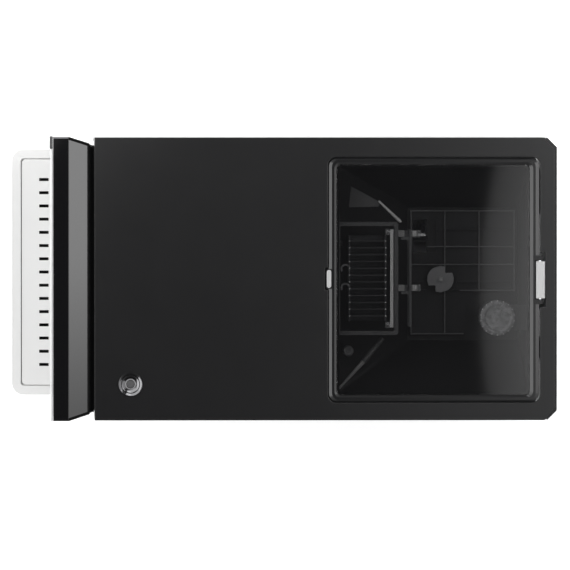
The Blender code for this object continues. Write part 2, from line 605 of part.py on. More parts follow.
# ---------------------------------------------------------------- ice delivery
def auger():
    """Screw in a tube that carries ice from the bin's outlet to the chute in the head."""
    front, rear = -0.1962, 0.1680
    profile = [(TUBE_BORE, front), (TUBE_RADIUS, front), (TUBE_RADIUS, rear), (TUBE_BORE, rear)]
    barrel = turned("auger_tube", profile, (AUGER_X, 0, AUGER_Z), "white_plastic", axis="Y")
    neck_x, neck_y = grown(OUTLET_X, 0.0030), grown(OUTLET_Y, 0.0030)
    top = BIN_FLOOR_Z - BIN_WALL - GAP
    neck = boxes("tube_neck", [((neck_x[0] + 0.001, neck_y[0], AUGER_Z + 0.0150),
                                (neck_x[1] - 0.001, neck_y[1], top))])
    combine(barrel, neck, "UNION")
    combine(barrel, boxes("tube_mouth", [((OUTLET_X[0], OUTLET_Y[0], AUGER_Z),
                                          (OUTLET_X[1], OUTLET_Y[1], top + 0.01))]))
    combine(barrel, bars("tube_clearance", [((AUGER_X, front - 0.01, AUGER_Z),
                                             (AUGER_X, rear + 0.01, AUGER_Z), TUBE_BORE)]))

    start, end, turns = -0.2150, 0.1650, 9
    rise = (end - start) / turns
    section = [(0.0045, -0.0012), (0.0192, -0.0008), (0.0192, 0.0008), (0.0045, 0.0012)]
    rings = helix_rings(turns, 14, rise, section)
    turn = Matrix.Translation((AUGER_X, start, AUGER_Z)) @ Matrix.Rotation(-math.pi / 2, 4, "X")
    rings = [[turn @ Vector(point) for point in row] for row in rings]
    flight = loft("auger_flight", rings, "brushed_steel", smooth=True)
    screw = bars("auger_screw", [((AUGER_X, start - 0.003, AUGER_Z), (AUGER_X, 0.1705, AUGER_Z), 0.0060)],
                 "brushed_steel", SMALL_ROUND)
    combine(screw, flight, "UNION")
    move_origin(screw, (AUGER_X, rear, AUGER_Z))

    body = 0.1709
    bars("auger_motor", [((AUGER_X, body, AUGER_Z), (AUGER_X, body + 0.0560, AUGER_Z), 0.0230)],
         "aluminium")


def chute():
    """Square ice chute through the head's floor, with a flap near its mouth."""
    x, y = (-0.0640, -0.0200), (-0.2322, -0.1966)
    low, top, wall = 0.2260, 0.3160, 0.0025
    duct = boxes("ice_chute", [((x[0], y[0], low), (x[1], y[1], top))], "dark_plastic")
    combine(duct, boxes("chute_space", [((x[0] + wall, y[0] + wall, low - 0.01),
                                         (x[1] - wall, y[1] - wall, top - wall))]))
    combine(duct, bars("chute_entry", [((AUGER_X, y[1] - 0.010, AUGER_Z),
                                        (AUGER_X, y[1] + 0.010, AUGER_Z), TUBE_BORE)]))
    pivot_y, pivot_z = y[1] - wall - 0.0026, 0.2590
    flap = boxes("chute_flap", [((x[0] + 0.0032, y[0] + wall + 0.0010, pivot_z - 0.0010),
                                 (x[1] - 0.0032, pivot_y, pivot_z + 0.0010))], "dark_plastic")
    rod = [((x[0] + 0.0032, pivot_y, pivot_z), (x[1] - 0.0032, pivot_y, pivot_z), 0.0020)]
    combine(flap, bars("flap_rod", rod, sides=12), "UNION")
    move_origin(flap, (AUGER_X, pivot_y, pivot_z))


def levers():
    """Two paddles that a glass pushes back: ice on the left, water on the right."""
    for name, centre in (("ice_lever", AUGER_X), ("water_lever", SPOUT_X)):
        low = 0.1500
        paddle = boxes(name, [((centre - 0.0150, LEVER_Y - 0.0015, low),
                               (centre + 0.0150, LEVER_Y + 0.0015, LEVER_Z))], "gloss_black")
        hub = [((centre - 0.0168, LEVER_Y, LEVER_Z), (centre + 0.0168, LEVER_Y, LEVER_Z), 0.0045),
               ((centre - 0.0200, LEVER_Y, LEVER_Z), (centre + 0.0200, LEVER_Y, LEVER_Z), 0.0027)]
        combine(paddle, bars(f"{name}_hub", hub[:1], sides=SMALL_ROUND), "UNION")
        combine(paddle, bars(f"{name}_axle", hub[1:], sides=SMALL_ROUND), "UNION")
        pad = boxes(f"{name}_pad", [((centre - 0.0190, LEVER_Y - 0.0035, low - 0.006),
                                     (centre + 0.0190, LEVER_Y + 0.0010, low + 0.034))])
        combine(paddle, pad, "UNION")
        move_origin(paddle, (centre, LEVER_Y, LEVER_Z))


def water_side():
    """Tank, pump, hoses and spout of the drinking water."""
    spout_y, floor = -0.214, HEAD_BOTTOM + 0.003 + GAP
    profile = [(0.0030, 0.2400), (0.0060, 0.2400), (0.0074, 0.2480), (0.0074, floor),
               (0.0105, floor), (0.0105, floor + 0.003), (0.0050, floor + 0.006), (0.0030, floor + 0.006)]
    turned("water_spout", profile, (SPOUT_X, spout_y, 0), "chrome", SMALL_ROUND)

    x, y, (deck, top) = (-0.130, 0.030), (-0.140, -0.030), (0.0186, 0.1800)
    wall, corner = 0.0025, 0.0060
    inner_x, inner_y = grown(x, -wall), grown(y, -wall)
    rings = [ring(x, y, corner, deck), ring(x, y, corner, top),
             ring(inner_x, inner_y, corner - wall, top),
             ring(inner_x, inner_y, corner - wall, deck + wall)]
    loft("water_tank", rings, "clear_plastic")
    lip = 0.001
    cover = [ring(grown(x, lip), grown(y, lip), corner + lip, z) for z in (top + GAP, top + 0.004)]
    loft("tank_cover", cover, "white_plastic")

    px, py, hose_z, hose = 0.070, -0.085, 0.040, 0.0040
    pump = bars("water_pump", [((px, py, deck), (px, py, 0.070), 0.0190)], "dark_plastic")
    top_port = [((px, py, 0.060), (px, py, 0.080), 0.0060)]
    combine(pump, bars("pump_outlet", top_port, sides=12), "UNION")
    short_run = [(x[1] + GAP, py, hose_z), (px - 0.0285, py, hose_z), (px - 0.0193, py, hose_z)]
    tube("tank_hose", short_run, hose, "clear_plastic")
    rise = [(px, py, 0.0805), (px, py, 0.090), (px, py, 0.100), (px, -0.090, 0.200),
            (0.066, -0.105, 0.270), (0.055, -0.140, 0.310), (0.046, -0.185, 0.314),
            (SPOUT_X, -0.212, 0.298), (SPOUT_X, spout_y, 0.286), (SPOUT_X, spout_y, floor + 0.0064)]
    tube("spout_hose", rise, hose, "clear_plastic")


# ---------------------------------------------------------------- drip tray
def drip_tray():
    """White tray that pulls out forwards, and the slotted grille that lies in it."""
    x, y = (-0.1305, 0.1305), (-REAR, -0.1530)
    low, top, shelf, floor = 0.0184, 0.0420, 0.0377, 0.0210
    rim, step = 0.0095, 0.0040
    inner = (grown(x, -rim), grown(y, -rim))
    well = (grown(x, -rim - step), grown(y, -rim - step))
    rings = [ring(x, y, 0.0100, low), ring(x, y, 0.0130, top - 0.003),
             ring(grown(x, -0.001), grown(y, -0.001), 0.0125, top), ring(*inner, 0.0055, top),
             ring(*inner, 0.0055, shelf), ring(*well, 0.0010, shelf), ring(*well, 0.0010, floor)]
    tray = loft("drip_tray", rings, "white_plastic")
    move_origin(tray, (0, y[0], low))

    plate = prism("drip_grille", rounded(*(grown(span, -0.0010) for span in inner), 0.0047),
                  shelf + GAP, top - 0.0012, "white_plastic")
    count, pitch, width = 15, 0.01406, 0.0032
    cuts = []
    for index in range(count):
        middle = pitch * (index - (count - 1) / 2)
        for y_span in ((-0.2509, -0.2409), (-0.2340, -0.1760)):
            cuts.append(((middle - width / 2, y_span[0], shelf - 0.01),
                         (middle + width / 2, y_span[1], top + 0.01)))
    combine(plate, boxes("grille_slots", cuts))
    move_origin(plate, (0, y[0], shelf))


# ---------------------------------------------------------------- power button
def power_button():
    """Chromed bezel in the top cover, the push cap, and the switch under it."""
    x, y = BUTTON
    profile = [(0.0097, 0.4320), (0.0108, 0.4320), (0.0108, TOP + GAP), (0.0124, TOP + GAP),
               (0.0124, TOP + 0.0010), (0.0115, TOP + 0.0018), (0.0100, TOP + 0.0010),
               (0.0097, TOP + 0.0002)]
    turned("button_bezel", profile, (x, y, 0), "chrome")
    cap_top, cap_low, stem_low = TOP - 0.0005, TOP - 0.0060, TOP - 0.0300
    profile = [(0, stem_low), (0.0028, stem_low), (0.0028, cap_low), (0.0093, cap_low),
               (0.0093, cap_top), (0.0085, cap_top + 0.0004), (0, cap_top)]
    cap = turned("button_cap", profile, (x, y, 0), "gloss_black")
    move_origin(cap, (x, y, cap_top))

    profile = [(0.0034, 0.4150), (0.0034, 0.4222), (0.0090, 0.4222), (0.0090, 0.4000), (0, 0.4000),
               (0, 0.4080), (0.0034, 0.4080)]
    turned("button_switch", profile, (x, y, 0), "dark_plastic", SMALL_ROUND)


# ---------------------------------------------------------------- refrigeration
def compressor():
    """Sealed compressor on its foot plate."""
    x, y = COMPRESSOR
    deck = 0.0186
    plate = ((x - 0.0700, y - 0.0620, deck), (x + 0.0640, y + 0.0620, deck + 0.004))
    boxes("compressor_plate", [plate], "black_enamel")
    low, radius, wall = deck + 0.004 + GAP, 0.0580, 0.0030
    outside = [(radius, low), (radius, 0.1300)]
    dome = [(radius * math.cos(a), 0.1300 + 0.0400 * math.sin(a))
            for a in (math.radians(t) for t in (22.5, 45, 67.5, 90))]
    inside = [(r - wall if r > wall else 0, z - wall) for r, z in reversed(dome)]
    dome[-1] = (0, dome[-1][1])
    inside[0] = (0, inside[0][1])
    profile = outside + dome + inside + [(radius - wall, 0.1280), (radius - wall, low)]
    turned("compressor_shell", profile, (x, y, 0), "black_enamel")


def condenser():
    """Finned condenser at the right side, with its fan, shroud and motor."""
    x, y, z = (0.1050, 0.1280), (0.0700, 0.2200), (0.0400, 0.1900)
    block = boxes("condenser", [((x[0], y[0], z[0]), (x[1], y[1], z[1]))], "aluminium")
    front = slots((x[0] - 0.01, x[0] + 0.0070), grown(y, -0.004), grown(z, -0.006), 16, 1, 0.6)
    back = slots((x[1] - 0.0070, x[1] + 0.01), grown(y, -0.004), grown(z, -0.006), 16, 1, 0.6)
    combine(block, boxes("condenser_gaps", front + back))

    ring_out, ring_in = 0.0700, 0.0655
    sx = (0.0840, 0.1046)
    profile = [(ring_in, sx[0]), (ring_out, sx[0]), (ring_out, sx[1]), (ring_in, sx[1])]
    shroud = turned("fan_shroud", profile, (0, FAN_Y, FAN_Z), "dark_plastic", ROUND, "X")
    arms = [((0.0800, FAN_Y - 0.0040, FAN_Z - 0.0680), (0.0850, FAN_Y + 0.0040, FAN_Z + 0.0680)),
            ((0.0800, FAN_Y - 0.0680, FAN_Z - 0.0040), (0.0850, FAN_Y + 0.0680, FAN_Z + 0.0040))]
    combine(shroud, boxes("shroud_arms", arms), "UNION")
    combine(shroud, bars("shroud_bore", [((0.07, FAN_Y, FAN_Z), (0.0990, FAN_Y, FAN_Z), 0.0060)],
                         sides=SMALL_ROUND))
    bars("fan_motor", [((0.0480, FAN_Y, FAN_Z), (0.0797, FAN_Y, FAN_Z), 0.0210)], "black_enamel")

    fan = bars("condenser_fan", [((0.0880, FAN_Y, FAN_Z), (0.1000, FAN_Y, FAN_Z), 0.0160)],
               "dark_plastic")
    bm = bmesh.new()
    blades = 5
    for index in range(blades):
        around = Matrix.Rotation(2 * math.pi * index / blades, 4, "X")
        pitch = Matrix.Rotation(math.radians(28), 4, "Z")
        verts = add_box(bm, (-0.0008, -0.0150, 0.0120), (0.0008, 0.0150, 0.0610))
        turn = Matrix.Translation((0.0940, FAN_Y, FAN_Z)) @ around @ pitch
        bmesh.ops.transform(bm, matrix=turn, verts=verts)
    combine(fan, place("fan_blades", bm, "dark_plastic"), "UNION")
    stub = [((0.0815, FAN_Y, FAN_Z), (0.0900, FAN_Y, FAN_Z), 0.0040)]
    combine(fan, bars("fan_stub", stub, sides=12), "UNION")
    move_origin(fan, (0.0940, FAN_Y, FAN_Z))


def pipework():
    """Refrigerant lines that run from the compressor to the condenser and to the evaporator."""
    suction = [(-0.0850, 0.1342, 0.110), (-0.0850, 0.1200, 0.110), (-0.0860, 0.0980, 0.122),
               (-0.0900, 0.0600, 0.170), (-0.0900, 0.0300, 0.260), (-0.0850, 0.0250, 0.350),
               (-0.0600, 0.0250, 0.400), (-0.0350, 0.0360, 0.405), (-0.0350, 0.0480, 0.405),
               (-0.0350, 0.0620, 0.405)]
    tube("suction_line", suction, 0.0040, "copper")
    discharge = [(-0.0034, 0.1900, 0.085), (0.0080, 0.1900, 0.085), (0.0220, 0.1950, 0.083),
                 (0.0500, 0.2260, 0.070), (0.0850, 0.2370, 0.060), (0.1090, 0.2400, 0.056),
                 (0.1165, 0.2320, 0.055), (0.1165, 0.2205, 0.055)]
    tube("discharge_line", discharge, 0.0030, "copper")


def electrics():
    """Control board, mains inlet, and the water fittings on the back."""
    board = boxes("control_board", [((0.1180, -0.1300, 0.0600), (0.1198, -0.0200, 0.2300))],
                  "circuit_board")
    parts = [((0.1000, -0.1200, 0.0700), (0.1185, -0.0850, 0.1050)),
             ((0.1080, -0.0700, 0.0750), (0.1185, -0.0450, 0.0950)),
             ((0.1080, -0.1180, 0.1500), (0.1185, -0.0980, 0.1750)),
             ((0.1120, -0.0800, 0.1300), (0.1185, -0.0400, 0.2000))]
    combine(board, boxes("board_parts", parts), "UNION")

    inlet = boxes("power_inlet", [((-0.1100, REAR - 0.0250, 0.0460), (-0.0620, REAR - 0.0004, 0.0740))],
                  "dark_plastic")
    combine(inlet, boxes("inlet_socket", [((-0.0980, REAR - 0.0180, 0.0520),
                                           (-0.0740, REAR + 0.01, 0.0680))]))
    profile = [(0.0040, REAR - 0.0300), (0.0100, REAR - 0.0300), (0.0100, REAR - 0.0004),
               (0.0040, REAR - 0.0004)]
    turned("water_inlet", profile, (0.030, 0, 0.060), "brushed_steel", SMALL_ROUND, "Y")
    profile = [(0.0086, REAR - 0.0300), (0.0120, REAR - 0.0300), (0.0120, REAR - 0.0030),
               (0.0086, REAR - 0.0030)]
    turned("drain_fitting", profile, (0.080, 0, 0.060), "dark_plastic", SMALL_ROUND, "Y")
    profile = [(0, REAR - 0.0220), (0.0080, REAR - 0.0220), (0.0080, REAR - 0.0027),
               (0.0116, REAR - 0.0027), (0.0116, REAR), (0, REAR)]
    plug = turned("drain_plug", profile, (0.080, 0, 0.060), "rubber", SMALL_ROUND, "Y")
    move_origin(plug, (0.080, REAR, 0.060))


def main():
    """Clears the scene and builds every sub-part."""
    for old in list(bpy.data.objects):
        bpy.data.objects.remove(old, do_unlink=True)
    base()
    side_panels()
    rear_panel()
    top_cover()
    bay_liner()
    head()
    lid()
    ice_bin()
    floor_grid()
    agitator()
    canister()
    evaporator()
    auger()
    chute()
    levers()
    water_side()
    drip_tray()
    power_button()
    compressor()
    condenser()
    pipework()
    electrics()


main()
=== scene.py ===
"""Looks of a countertop ice and water dispenser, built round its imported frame.

Metres, +Z up. -Y is the front, where a glass is filled, and +X is the right-hand side
seen from the front. Each sub-assembly is a class: its fields hold its sizes, and its
methods build and dress its pieces.
"""

import logging
import math
from dataclasses import dataclass, field
from enum import Enum
from typing import Callable, Iterable, Optional, Sequence

import bmesh
import bpy
from mathutils import Matrix, Vector


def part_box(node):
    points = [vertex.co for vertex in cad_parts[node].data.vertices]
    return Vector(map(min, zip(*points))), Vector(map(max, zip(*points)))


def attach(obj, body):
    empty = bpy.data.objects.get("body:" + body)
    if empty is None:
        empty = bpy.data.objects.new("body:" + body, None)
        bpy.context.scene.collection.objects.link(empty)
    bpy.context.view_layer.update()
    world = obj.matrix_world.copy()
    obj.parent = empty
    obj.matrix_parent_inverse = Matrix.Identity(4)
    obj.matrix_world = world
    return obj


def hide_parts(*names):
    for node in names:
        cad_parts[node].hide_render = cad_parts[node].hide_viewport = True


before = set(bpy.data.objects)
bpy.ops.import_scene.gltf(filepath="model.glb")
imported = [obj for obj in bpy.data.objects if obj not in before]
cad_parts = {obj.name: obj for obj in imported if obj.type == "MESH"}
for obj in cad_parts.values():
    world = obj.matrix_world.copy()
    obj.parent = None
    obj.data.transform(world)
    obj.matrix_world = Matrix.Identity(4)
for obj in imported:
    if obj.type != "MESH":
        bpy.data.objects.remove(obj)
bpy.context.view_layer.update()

LOG = logging.getLogger("dispenser")
CABINET = "cabinet"
MM = 0.001
WELD = 1e-6
FLAT_WITHIN = math.radians(0.6)
ROUND_BELOW = math.radians(40.0)
Point = Sequence[float]
Profile = Sequence[tuple[float, float]]


class Axis(Enum):
    """The row axis that a turned piece spins about."""

    X = Matrix.Rotation(math.pi / 2, 4, "Y")
    Y = Matrix.Rotation(-math.pi / 2, 4, "X")
    Z = Matrix.Identity(4)


class Pattern(Enum):
    """What a finish's fine surface is made of."""

    SMOOTH = "smooth"
    MOULDED = "moulded"
    BRUSHED_X = "brushed along x"
    BRUSHED_Z = "brushed along z"
    CAST = "cast"


# ------------------------------------------------------------------ shader groups
class GroupBuilder:
    """Makes one shader node group and keeps its ends."""

    def __init__(self, name: str, inputs: dict[str, object], outputs: Sequence[str]) -> None:
        """Starts a group.

        Args:
            name: the group's name.
            inputs: default value of each input by name; a tuple makes a colour.
            outputs: names of the outputs; one that starts with Colour is a colour.
        """
        self.tree = bpy.data.node_groups.new(name, "ShaderNodeTree")
        for label, default in inputs.items():
            kind = "NodeSocketColor" if isinstance(default, tuple) else "NodeSocketFloat"
            socket = self.tree.interface.new_socket(label, in_out="INPUT", socket_type=kind)
            socket.default_value = default
        for label in outputs:
            kind = "NodeSocketColor" if label.startswith("Colour") else "NodeSocketFloat"
            self.tree.interface.new_socket(label, in_out="OUTPUT", socket_type=kind)
        self.source = self.tree.nodes.new("NodeGroupInput")
        self.sink = self.tree.nodes.new("NodeGroupOutput")

    def node(self, kind: str, **settings: object) -> bpy.types.Node:
        """Adds a node of a kind with its settings, and returns it."""
        made = self.tree.nodes.new(kind)
        for label, value in settings.items():
            setattr(made, label, value)
        return made

    def link(self, start: bpy.types.NodeSocket, end: bpy.types.NodeSocket) -> None:
        """Joins an output to an input."""
        self.tree.links.new(start, end)


def place_of_surface(group: GroupBuilder, stretch: Point = (1, 1, 1)) -> bpy.types.NodeSocket:
    """Object coordinates, stretched along each axis.

    Args:
        group: the group that reads them.
        stretch: how much each axis is multiplied by.

    Returns:
        The socket that gives them.
    """
    place = group.node("ShaderNodeTexCoord")
    mapping = group.node("ShaderNodeMapping")
    mapping.inputs["Scale"].default_value = stretch
    group.link(place.outputs["Object"], mapping.inputs["Vector"])
    return mapping.outputs["Vector"]


def build_grain_group() -> bpy.types.NodeTree:
    """Fine moulded texture: two noises, one much finer, mixed into a height."""
    group = GroupBuilder("moulded_grain", {"Scale": 900.0, "Coarse Share": 0.35}, ["Height"])
    where = place_of_surface(group)
    fine = group.node("ShaderNodeTexNoise")
    coarse = group.node("ShaderNodeTexNoise")
    quarter = group.node("ShaderNodeMath", operation="MULTIPLY")
    quarter.inputs[1].default_value = 0.21
    mix = group.node("ShaderNodeMix")
    for noise in (fine, coarse):
        noise.inputs["Detail"].default_value = 2.0
        group.link(where, noise.inputs["Vector"])
    group.link(group.source.outputs["Scale"], fine.inputs["Scale"])
    group.link(group.source.outputs["Scale"], quarter.inputs[0])
    group.link(quarter.outputs[0], coarse.inputs["Scale"])
    group.link(group.source.outputs["Coarse Share"], mix.inputs["Factor"])
    group.link(fine.outputs["Fac"], mix.inputs["A"])
    group.link(coarse.outputs["Fac"], mix.inputs["B"])
    group.link(mix.outputs["Result"], group.sink.inputs["Height"])
    return group.tree


def build_brush_group(name: str, stretch: Point) -> bpy.types.NodeTree:
    """Long fine lines left by brushing, as a height and a mask.

    Args:
        name: the group's name.
        stretch: axis multipliers; the lines run along the smallest.

    Returns:
        The group.
    """
    group = GroupBuilder(name, {"Scale": 60.0}, ["Height", "Mask"])
    where = place_of_surface(group, stretch)
    lines = group.node("ShaderNodeTexNoise")
    lines.inputs["Detail"].default_value = 5.0
    lines.inputs["Roughness"].default_value = 0.7
    group.link(where, lines.inputs["Vector"])
    group.link(group.source.outputs["Scale"], lines.inputs["Scale"])
    spread = group.node("ShaderNodeMapRange")
    spread.inputs["From Min"].default_value = 0.3
    spread.inputs["From Max"].default_value = 0.7
    group.link(lines.outputs["Fac"], spread.inputs["Value"])
    group.link(spread.outputs["Result"], group.sink.inputs["Mask"])
    group.link(lines.outputs["Fac"], group.sink.inputs["Height"])
    return group.tree


def build_handling_group() -> bpy.types.NodeTree:
    """Uneven gloss of a surface that has been wiped and touched, around a mean roughness."""
    group = GroupBuilder("handling_marks", {"Roughness": 0.3, "Amount": 0.06, "Scale": 14.0},
                         ["Roughness"])
    where = place_of_surface(group)
    smears = group.node("ShaderNodeTexNoise")
    smears.inputs["Detail"].default_value = 6.0
    smears.inputs["Roughness"].default_value = 0.62
    smears.inputs["Distortion"].default_value = 0.6
    group.link(where, smears.inputs["Vector"])
    group.link(group.source.outputs["Scale"], smears.inputs["Scale"])
    centred = group.node("ShaderNodeMath", operation="SUBTRACT")
    centred.inputs[1].default_value = 0.5
    scaled = group.node("ShaderNodeMath", operation="MULTIPLY_ADD")
    group.link(smears.outputs["Fac"], centred.inputs[0])
    group.link(centred.outputs[0], scaled.inputs[0])
    group.link(group.source.outputs["Amount"], scaled.inputs[1])
    group.link(group.source.outputs["Roughness"], scaled.inputs[2])
    group.link(scaled.outputs[0], group.sink.inputs["Roughness"])
    return group.tree


def build_tone_group() -> bpy.types.NodeTree:
    """Slight drift of a colour over the piece, with fine dust specks that lighten it."""
    group = GroupBuilder(
        "tone_and_dust",
        {"Colour": (0.5, 0.5, 0.5, 1.0), "Drift": 0.08, "Dust": 0.05, "Scale": 9.0},
        ["Colour"],
    )
    where = place_of_surface(group)
    drift = group.node("ShaderNodeTexNoise")
    drift.inputs["Detail"].default_value = 3.0
    group.link(where, drift.inputs["Vector"])
    group.link(group.source.outputs["Scale"], drift.inputs["Scale"])
    swing = group.node("ShaderNodeMapRange")
    swing.inputs["From Min"].default_value = 0.3
    swing.inputs["From Max"].default_value = 0.7
    swing.inputs["To Min"].default_value = -1.0
    group.link(drift.outputs["Fac"], swing.inputs["Value"])
    gain = group.node("ShaderNodeMath", operation="MULTIPLY_ADD")
    gain.inputs[2].default_value = 1.0
    group.link(swing.outputs["Result"], gain.inputs[0])
    group.link(group.source.outputs["Drift"], gain.inputs[1])
    toned = group.node("ShaderNodeVectorMath", operation="SCALE")
    group.link(group.source.outputs["Colour"], toned.inputs["Vector"])
    group.link(gain.outputs[0], toned.inputs["Scale"])
    specks = group.node("ShaderNodeTexVoronoi", feature="F1")
    specks.inputs["Scale"].default_value = 420.0
    group.link(where, specks.inputs["Vector"])
    small = group.node("ShaderNodeMapRange")
    small.inputs["From Min"].default_value = 0.16
    small.inputs["From Max"].default_value = 0.08
    group.link(specks.outputs["Distance"], small.inputs["Value"])
    dust = group.node("ShaderNodeMath", operation="MULTIPLY")
    group.link(small.outputs["Result"], dust.inputs[0])
    group.link(group.source.outputs["Dust"], dust.inputs[1])
    mix = group.node("ShaderNodeMix", data_type="RGBA")
    mix.inputs["B"].default_value = (0.55, 0.54, 0.52, 1.0)
    group.link(dust.outputs[0], mix.inputs["Factor"])
    group.link(toned.outputs["Vector"], mix.inputs["A"])
    group.link(mix.outputs["Result"], group.sink.inputs["Colour"])
    return group.tree


class ShaderGroups:
    """The effects that several finishes share, each built once."""

    def __init__(self) -> None:
        """Builds every group."""
        self.handling = build_handling_group()
        self.tone = build_tone_group()
        grain = build_grain_group()
        self.height = {
            Pattern.MOULDED: grain,
            Pattern.CAST: grain,
            Pattern.BRUSHED_X: build_brush_group("brushed_along_x", (0.02, 1.0, 1.0)),
            Pattern.BRUSHED_Z: build_brush_group("brushed_along_z", (1.0, 1.0, 0.02)),
        }


# ------------------------------------------------------------------ finishes
@dataclass(frozen=True)
class Finish:
    """A material: what it is made of, how rough it is and what its fine surface shows."""

    name: str
    slot: str
    colour: tuple[float, float, float]
    roughness: float = 0.4
    metallic: float = 0.0
    pattern: Pattern = Pattern.MOULDED
    grain_scale: float = 900.0
    grain_depth: float = 0.02
    handling: float = 0.06
    drift: float = 0.05
    drift_scale: float = 9.0
    dust: float = 0.0
    coat: float = 0.0
    specular: float = 0.5
    alpha: float = 1.0
    glow: float = 0.0

    def material(self, groups: ShaderGroups) -> bpy.types.Material:
        """The finish as a node material, made the first time it is asked for.

        Args:
            groups: the shared shader groups.

        Returns:
            The material.
        """
        if self.name in bpy.data.materials:
            return bpy.data.materials[self.name]
        made = bpy.data.materials.new(self.name)
        made.use_nodes = True
        nodes, links = made.node_tree.nodes, made.node_tree.links
        shader = nodes["Principled BSDF"]
        shader.inputs["Metallic"].default_value = self.metallic
        shader.inputs["Specular IOR Level"].default_value = self.specular
        shader.inputs["Coat Weight"].default_value = self.coat
        shader.inputs["Coat Roughness"].default_value = 0.04
        shader.inputs["Alpha"].default_value = self.alpha

        tone = nodes.new("ShaderNodeGroup")
        tone.node_tree = groups.tone
        tone.inputs["Colour"].default_value = (*self.colour, 1.0)
        tone.inputs["Drift"].default_value = self.drift
        tone.inputs["Scale"].default_value = self.drift_scale
        tone.inputs["Dust"].default_value = self.dust
        links.new(tone.outputs["Colour"], shader.inputs["Base Color"])

        marks = nodes.new("ShaderNodeGroup")
        marks.node_tree = groups.handling
        marks.inputs["Roughness"].default_value = self.roughness
        marks.inputs["Amount"].default_value = self.handling
        links.new(marks.outputs["Roughness"], shader.inputs["Roughness"])

        if self.pattern is not Pattern.SMOOTH:
            grain = nodes.new("ShaderNodeGroup")
            grain.node_tree = groups.height[self.pattern]
            grain.inputs["Scale"].default_value = self.grain_scale
            bump = nodes.new("ShaderNodeBump")
            bump.inputs["Strength"].default_value = 0.6
            bump.inputs["Distance"].default_value = self.grain_depth * MM
            links.new(grain.outputs["Height"], bump.inputs["Height"])
            links.new(bump.outputs["Normal"], shader.inputs["Normal"])
        if self.glow:
            shader.inputs["Emission Color"].default_value = (*self.colour, 1.0)
            shader.inputs["Emission Strength"].default_value = self.glow
        return made


SATIN_BLACK = Finish("satin_black_cover", "satin_black", (0.0070, 0.0070, 0.0074), 0.23,
                     grain_scale=1500, grain_depth=0.008, handling=0.05, drift=0.06)
LID_BLACK = Finish("lid_frame_black", "satin_black", (0.0075, 0.0075, 0.008), 0.16,
                   grain_scale=1500, grain_depth=0.004, handling=0.04)
PIANO_BLACK = Finish("piano_black", "gloss_black", (0.0045, 0.0045, 0.005), 0.07, coat=0.6,
                     pattern=Pattern.SMOOTH, handling=0.03)
DISPLAY_BLACK = Finish("display_glass_black", "gloss_black", (0.003, 0.003, 0.0035), 0.04,
                       pattern=Pattern.SMOOTH, handling=0.02, coat=0.4)
SMOKED_PANE = Finish("smoked_pane", "smoked_window", (0.006, 0.006, 0.0065), 0.03,
                     pattern=Pattern.SMOOTH, handling=0.02, coat=1.0, specular=1.0, alpha=0.37)
SILVER_SHEET = Finish("silver_coated_sheet", "sheet_grey", (0.56, 0.565, 0.57), 0.34,
                      metallic=0.75, grain_scale=2200, grain_depth=0.006, handling=0.08)
BRUSHED_FACE = Finish("brushed_face", "face_steel", (0.74, 0.745, 0.75), 0.36, metallic=0.55,
                      pattern=Pattern.BRUSHED_X, grain_scale=900, grain_depth=0.003)
PALE_BAR = Finish("pale_bar", "bare_aluminium", (0.80, 0.80, 0.80), 0.35, metallic=0.2,
                  grain_scale=1200, grain_depth=0.006)
PALE_HINGE = Finish("pale_hinge", "face_steel", (0.48, 0.48, 0.48), 0.30, metallic=0.35,
                    grain_scale=1600, grain_depth=0.008)
TURNED_STEEL = Finish("turned_steel", "screw_steel", (0.60, 0.60, 0.61), 0.25, metallic=1.0,
                      pattern=Pattern.BRUSHED_Z, grain_scale=700, grain_depth=0.012)
CHROME = Finish("polished_chrome", "bright_chrome", (0.82, 0.83, 0.85), 0.06, metallic=1.0,
                pattern=Pattern.SMOOTH, handling=0.03)
DARK_CHROME = Finish("dark_chrome", "bright_chrome", (0.14, 0.14, 0.144), 0.10, metallic=1.0,
                     pattern=Pattern.SMOOTH, handling=0.03)
# White moulding for the tray, grille and tank cover, with a faint emission: painted light that
# makes it brighter than its lighting.
WHITE_PLASTIC_PAINTED_GLOW = Finish("white_moulding", "white_moulding", (0.95, 0.95, 0.945), 0.38,
                       grain_scale=1400, grain_depth=0.010, drift=0.02, glow=0.13)
BAY_WHITE = Finish("bay_white", "white_moulding", (0.78, 0.785, 0.79), 0.30, drift=0.02,
                   grain_scale=1400, grain_depth=0.010)
DARK_PLASTIC = Finish("dark_moulding", "dark_moulding", (0.016, 0.016, 0.017), 0.42,
                      grain_scale=1100, grain_depth=0.02, drift=0.10, dust=0.02)
BIN_PLASTIC = Finish("bin_moulding", "dark_moulding", (0.028, 0.028, 0.029), 0.30,
                     grain_scale=900, grain_depth=0.015, drift=0.12)
HOUSING_PLASTIC = Finish("housing_moulding", "dark_moulding", (0.095, 0.095, 0.097), 0.34,
                         grain_scale=900, grain_depth=0.015, drift=0.10)
RACK_PLASTIC = Finish("rack_moulding", "dark_moulding", (0.030, 0.030, 0.032), 0.34,
                      grain_scale=900, grain_depth=0.015, drift=0.10)
RIB_GREY = Finish("rib_grey", "dark_moulding", (0.27, 0.27, 0.275), 0.32, grain_depth=0.01)
GUSSET_GREY = Finish("gusset_grey", "dark_moulding", (0.11, 0.11, 0.112), 0.34, grain_depth=0.01)
CLIP_GREY = Finish("clip_grey", "dark_moulding", (0.20, 0.20, 0.205), 0.34, grain_depth=0.01)
TRIM_GREY = Finish("trim_grey", "dark_moulding", (0.060, 0.060, 0.062), 0.35, grain_depth=0.01)
WING_PLASTIC = Finish("wing_moulding", "clear_moulding", (0.50, 0.50, 0.51), 0.30, coat=0.3,
                      grain_scale=600, grain_depth=0.02)
CAP_PLASTIC = Finish("cap_moulding", "clear_moulding", (0.34, 0.34, 0.35), 0.22, coat=0.5,
                     grain_scale=320, grain_depth=0.30, drift=0.42, drift_scale=230.0, alpha=0.85)
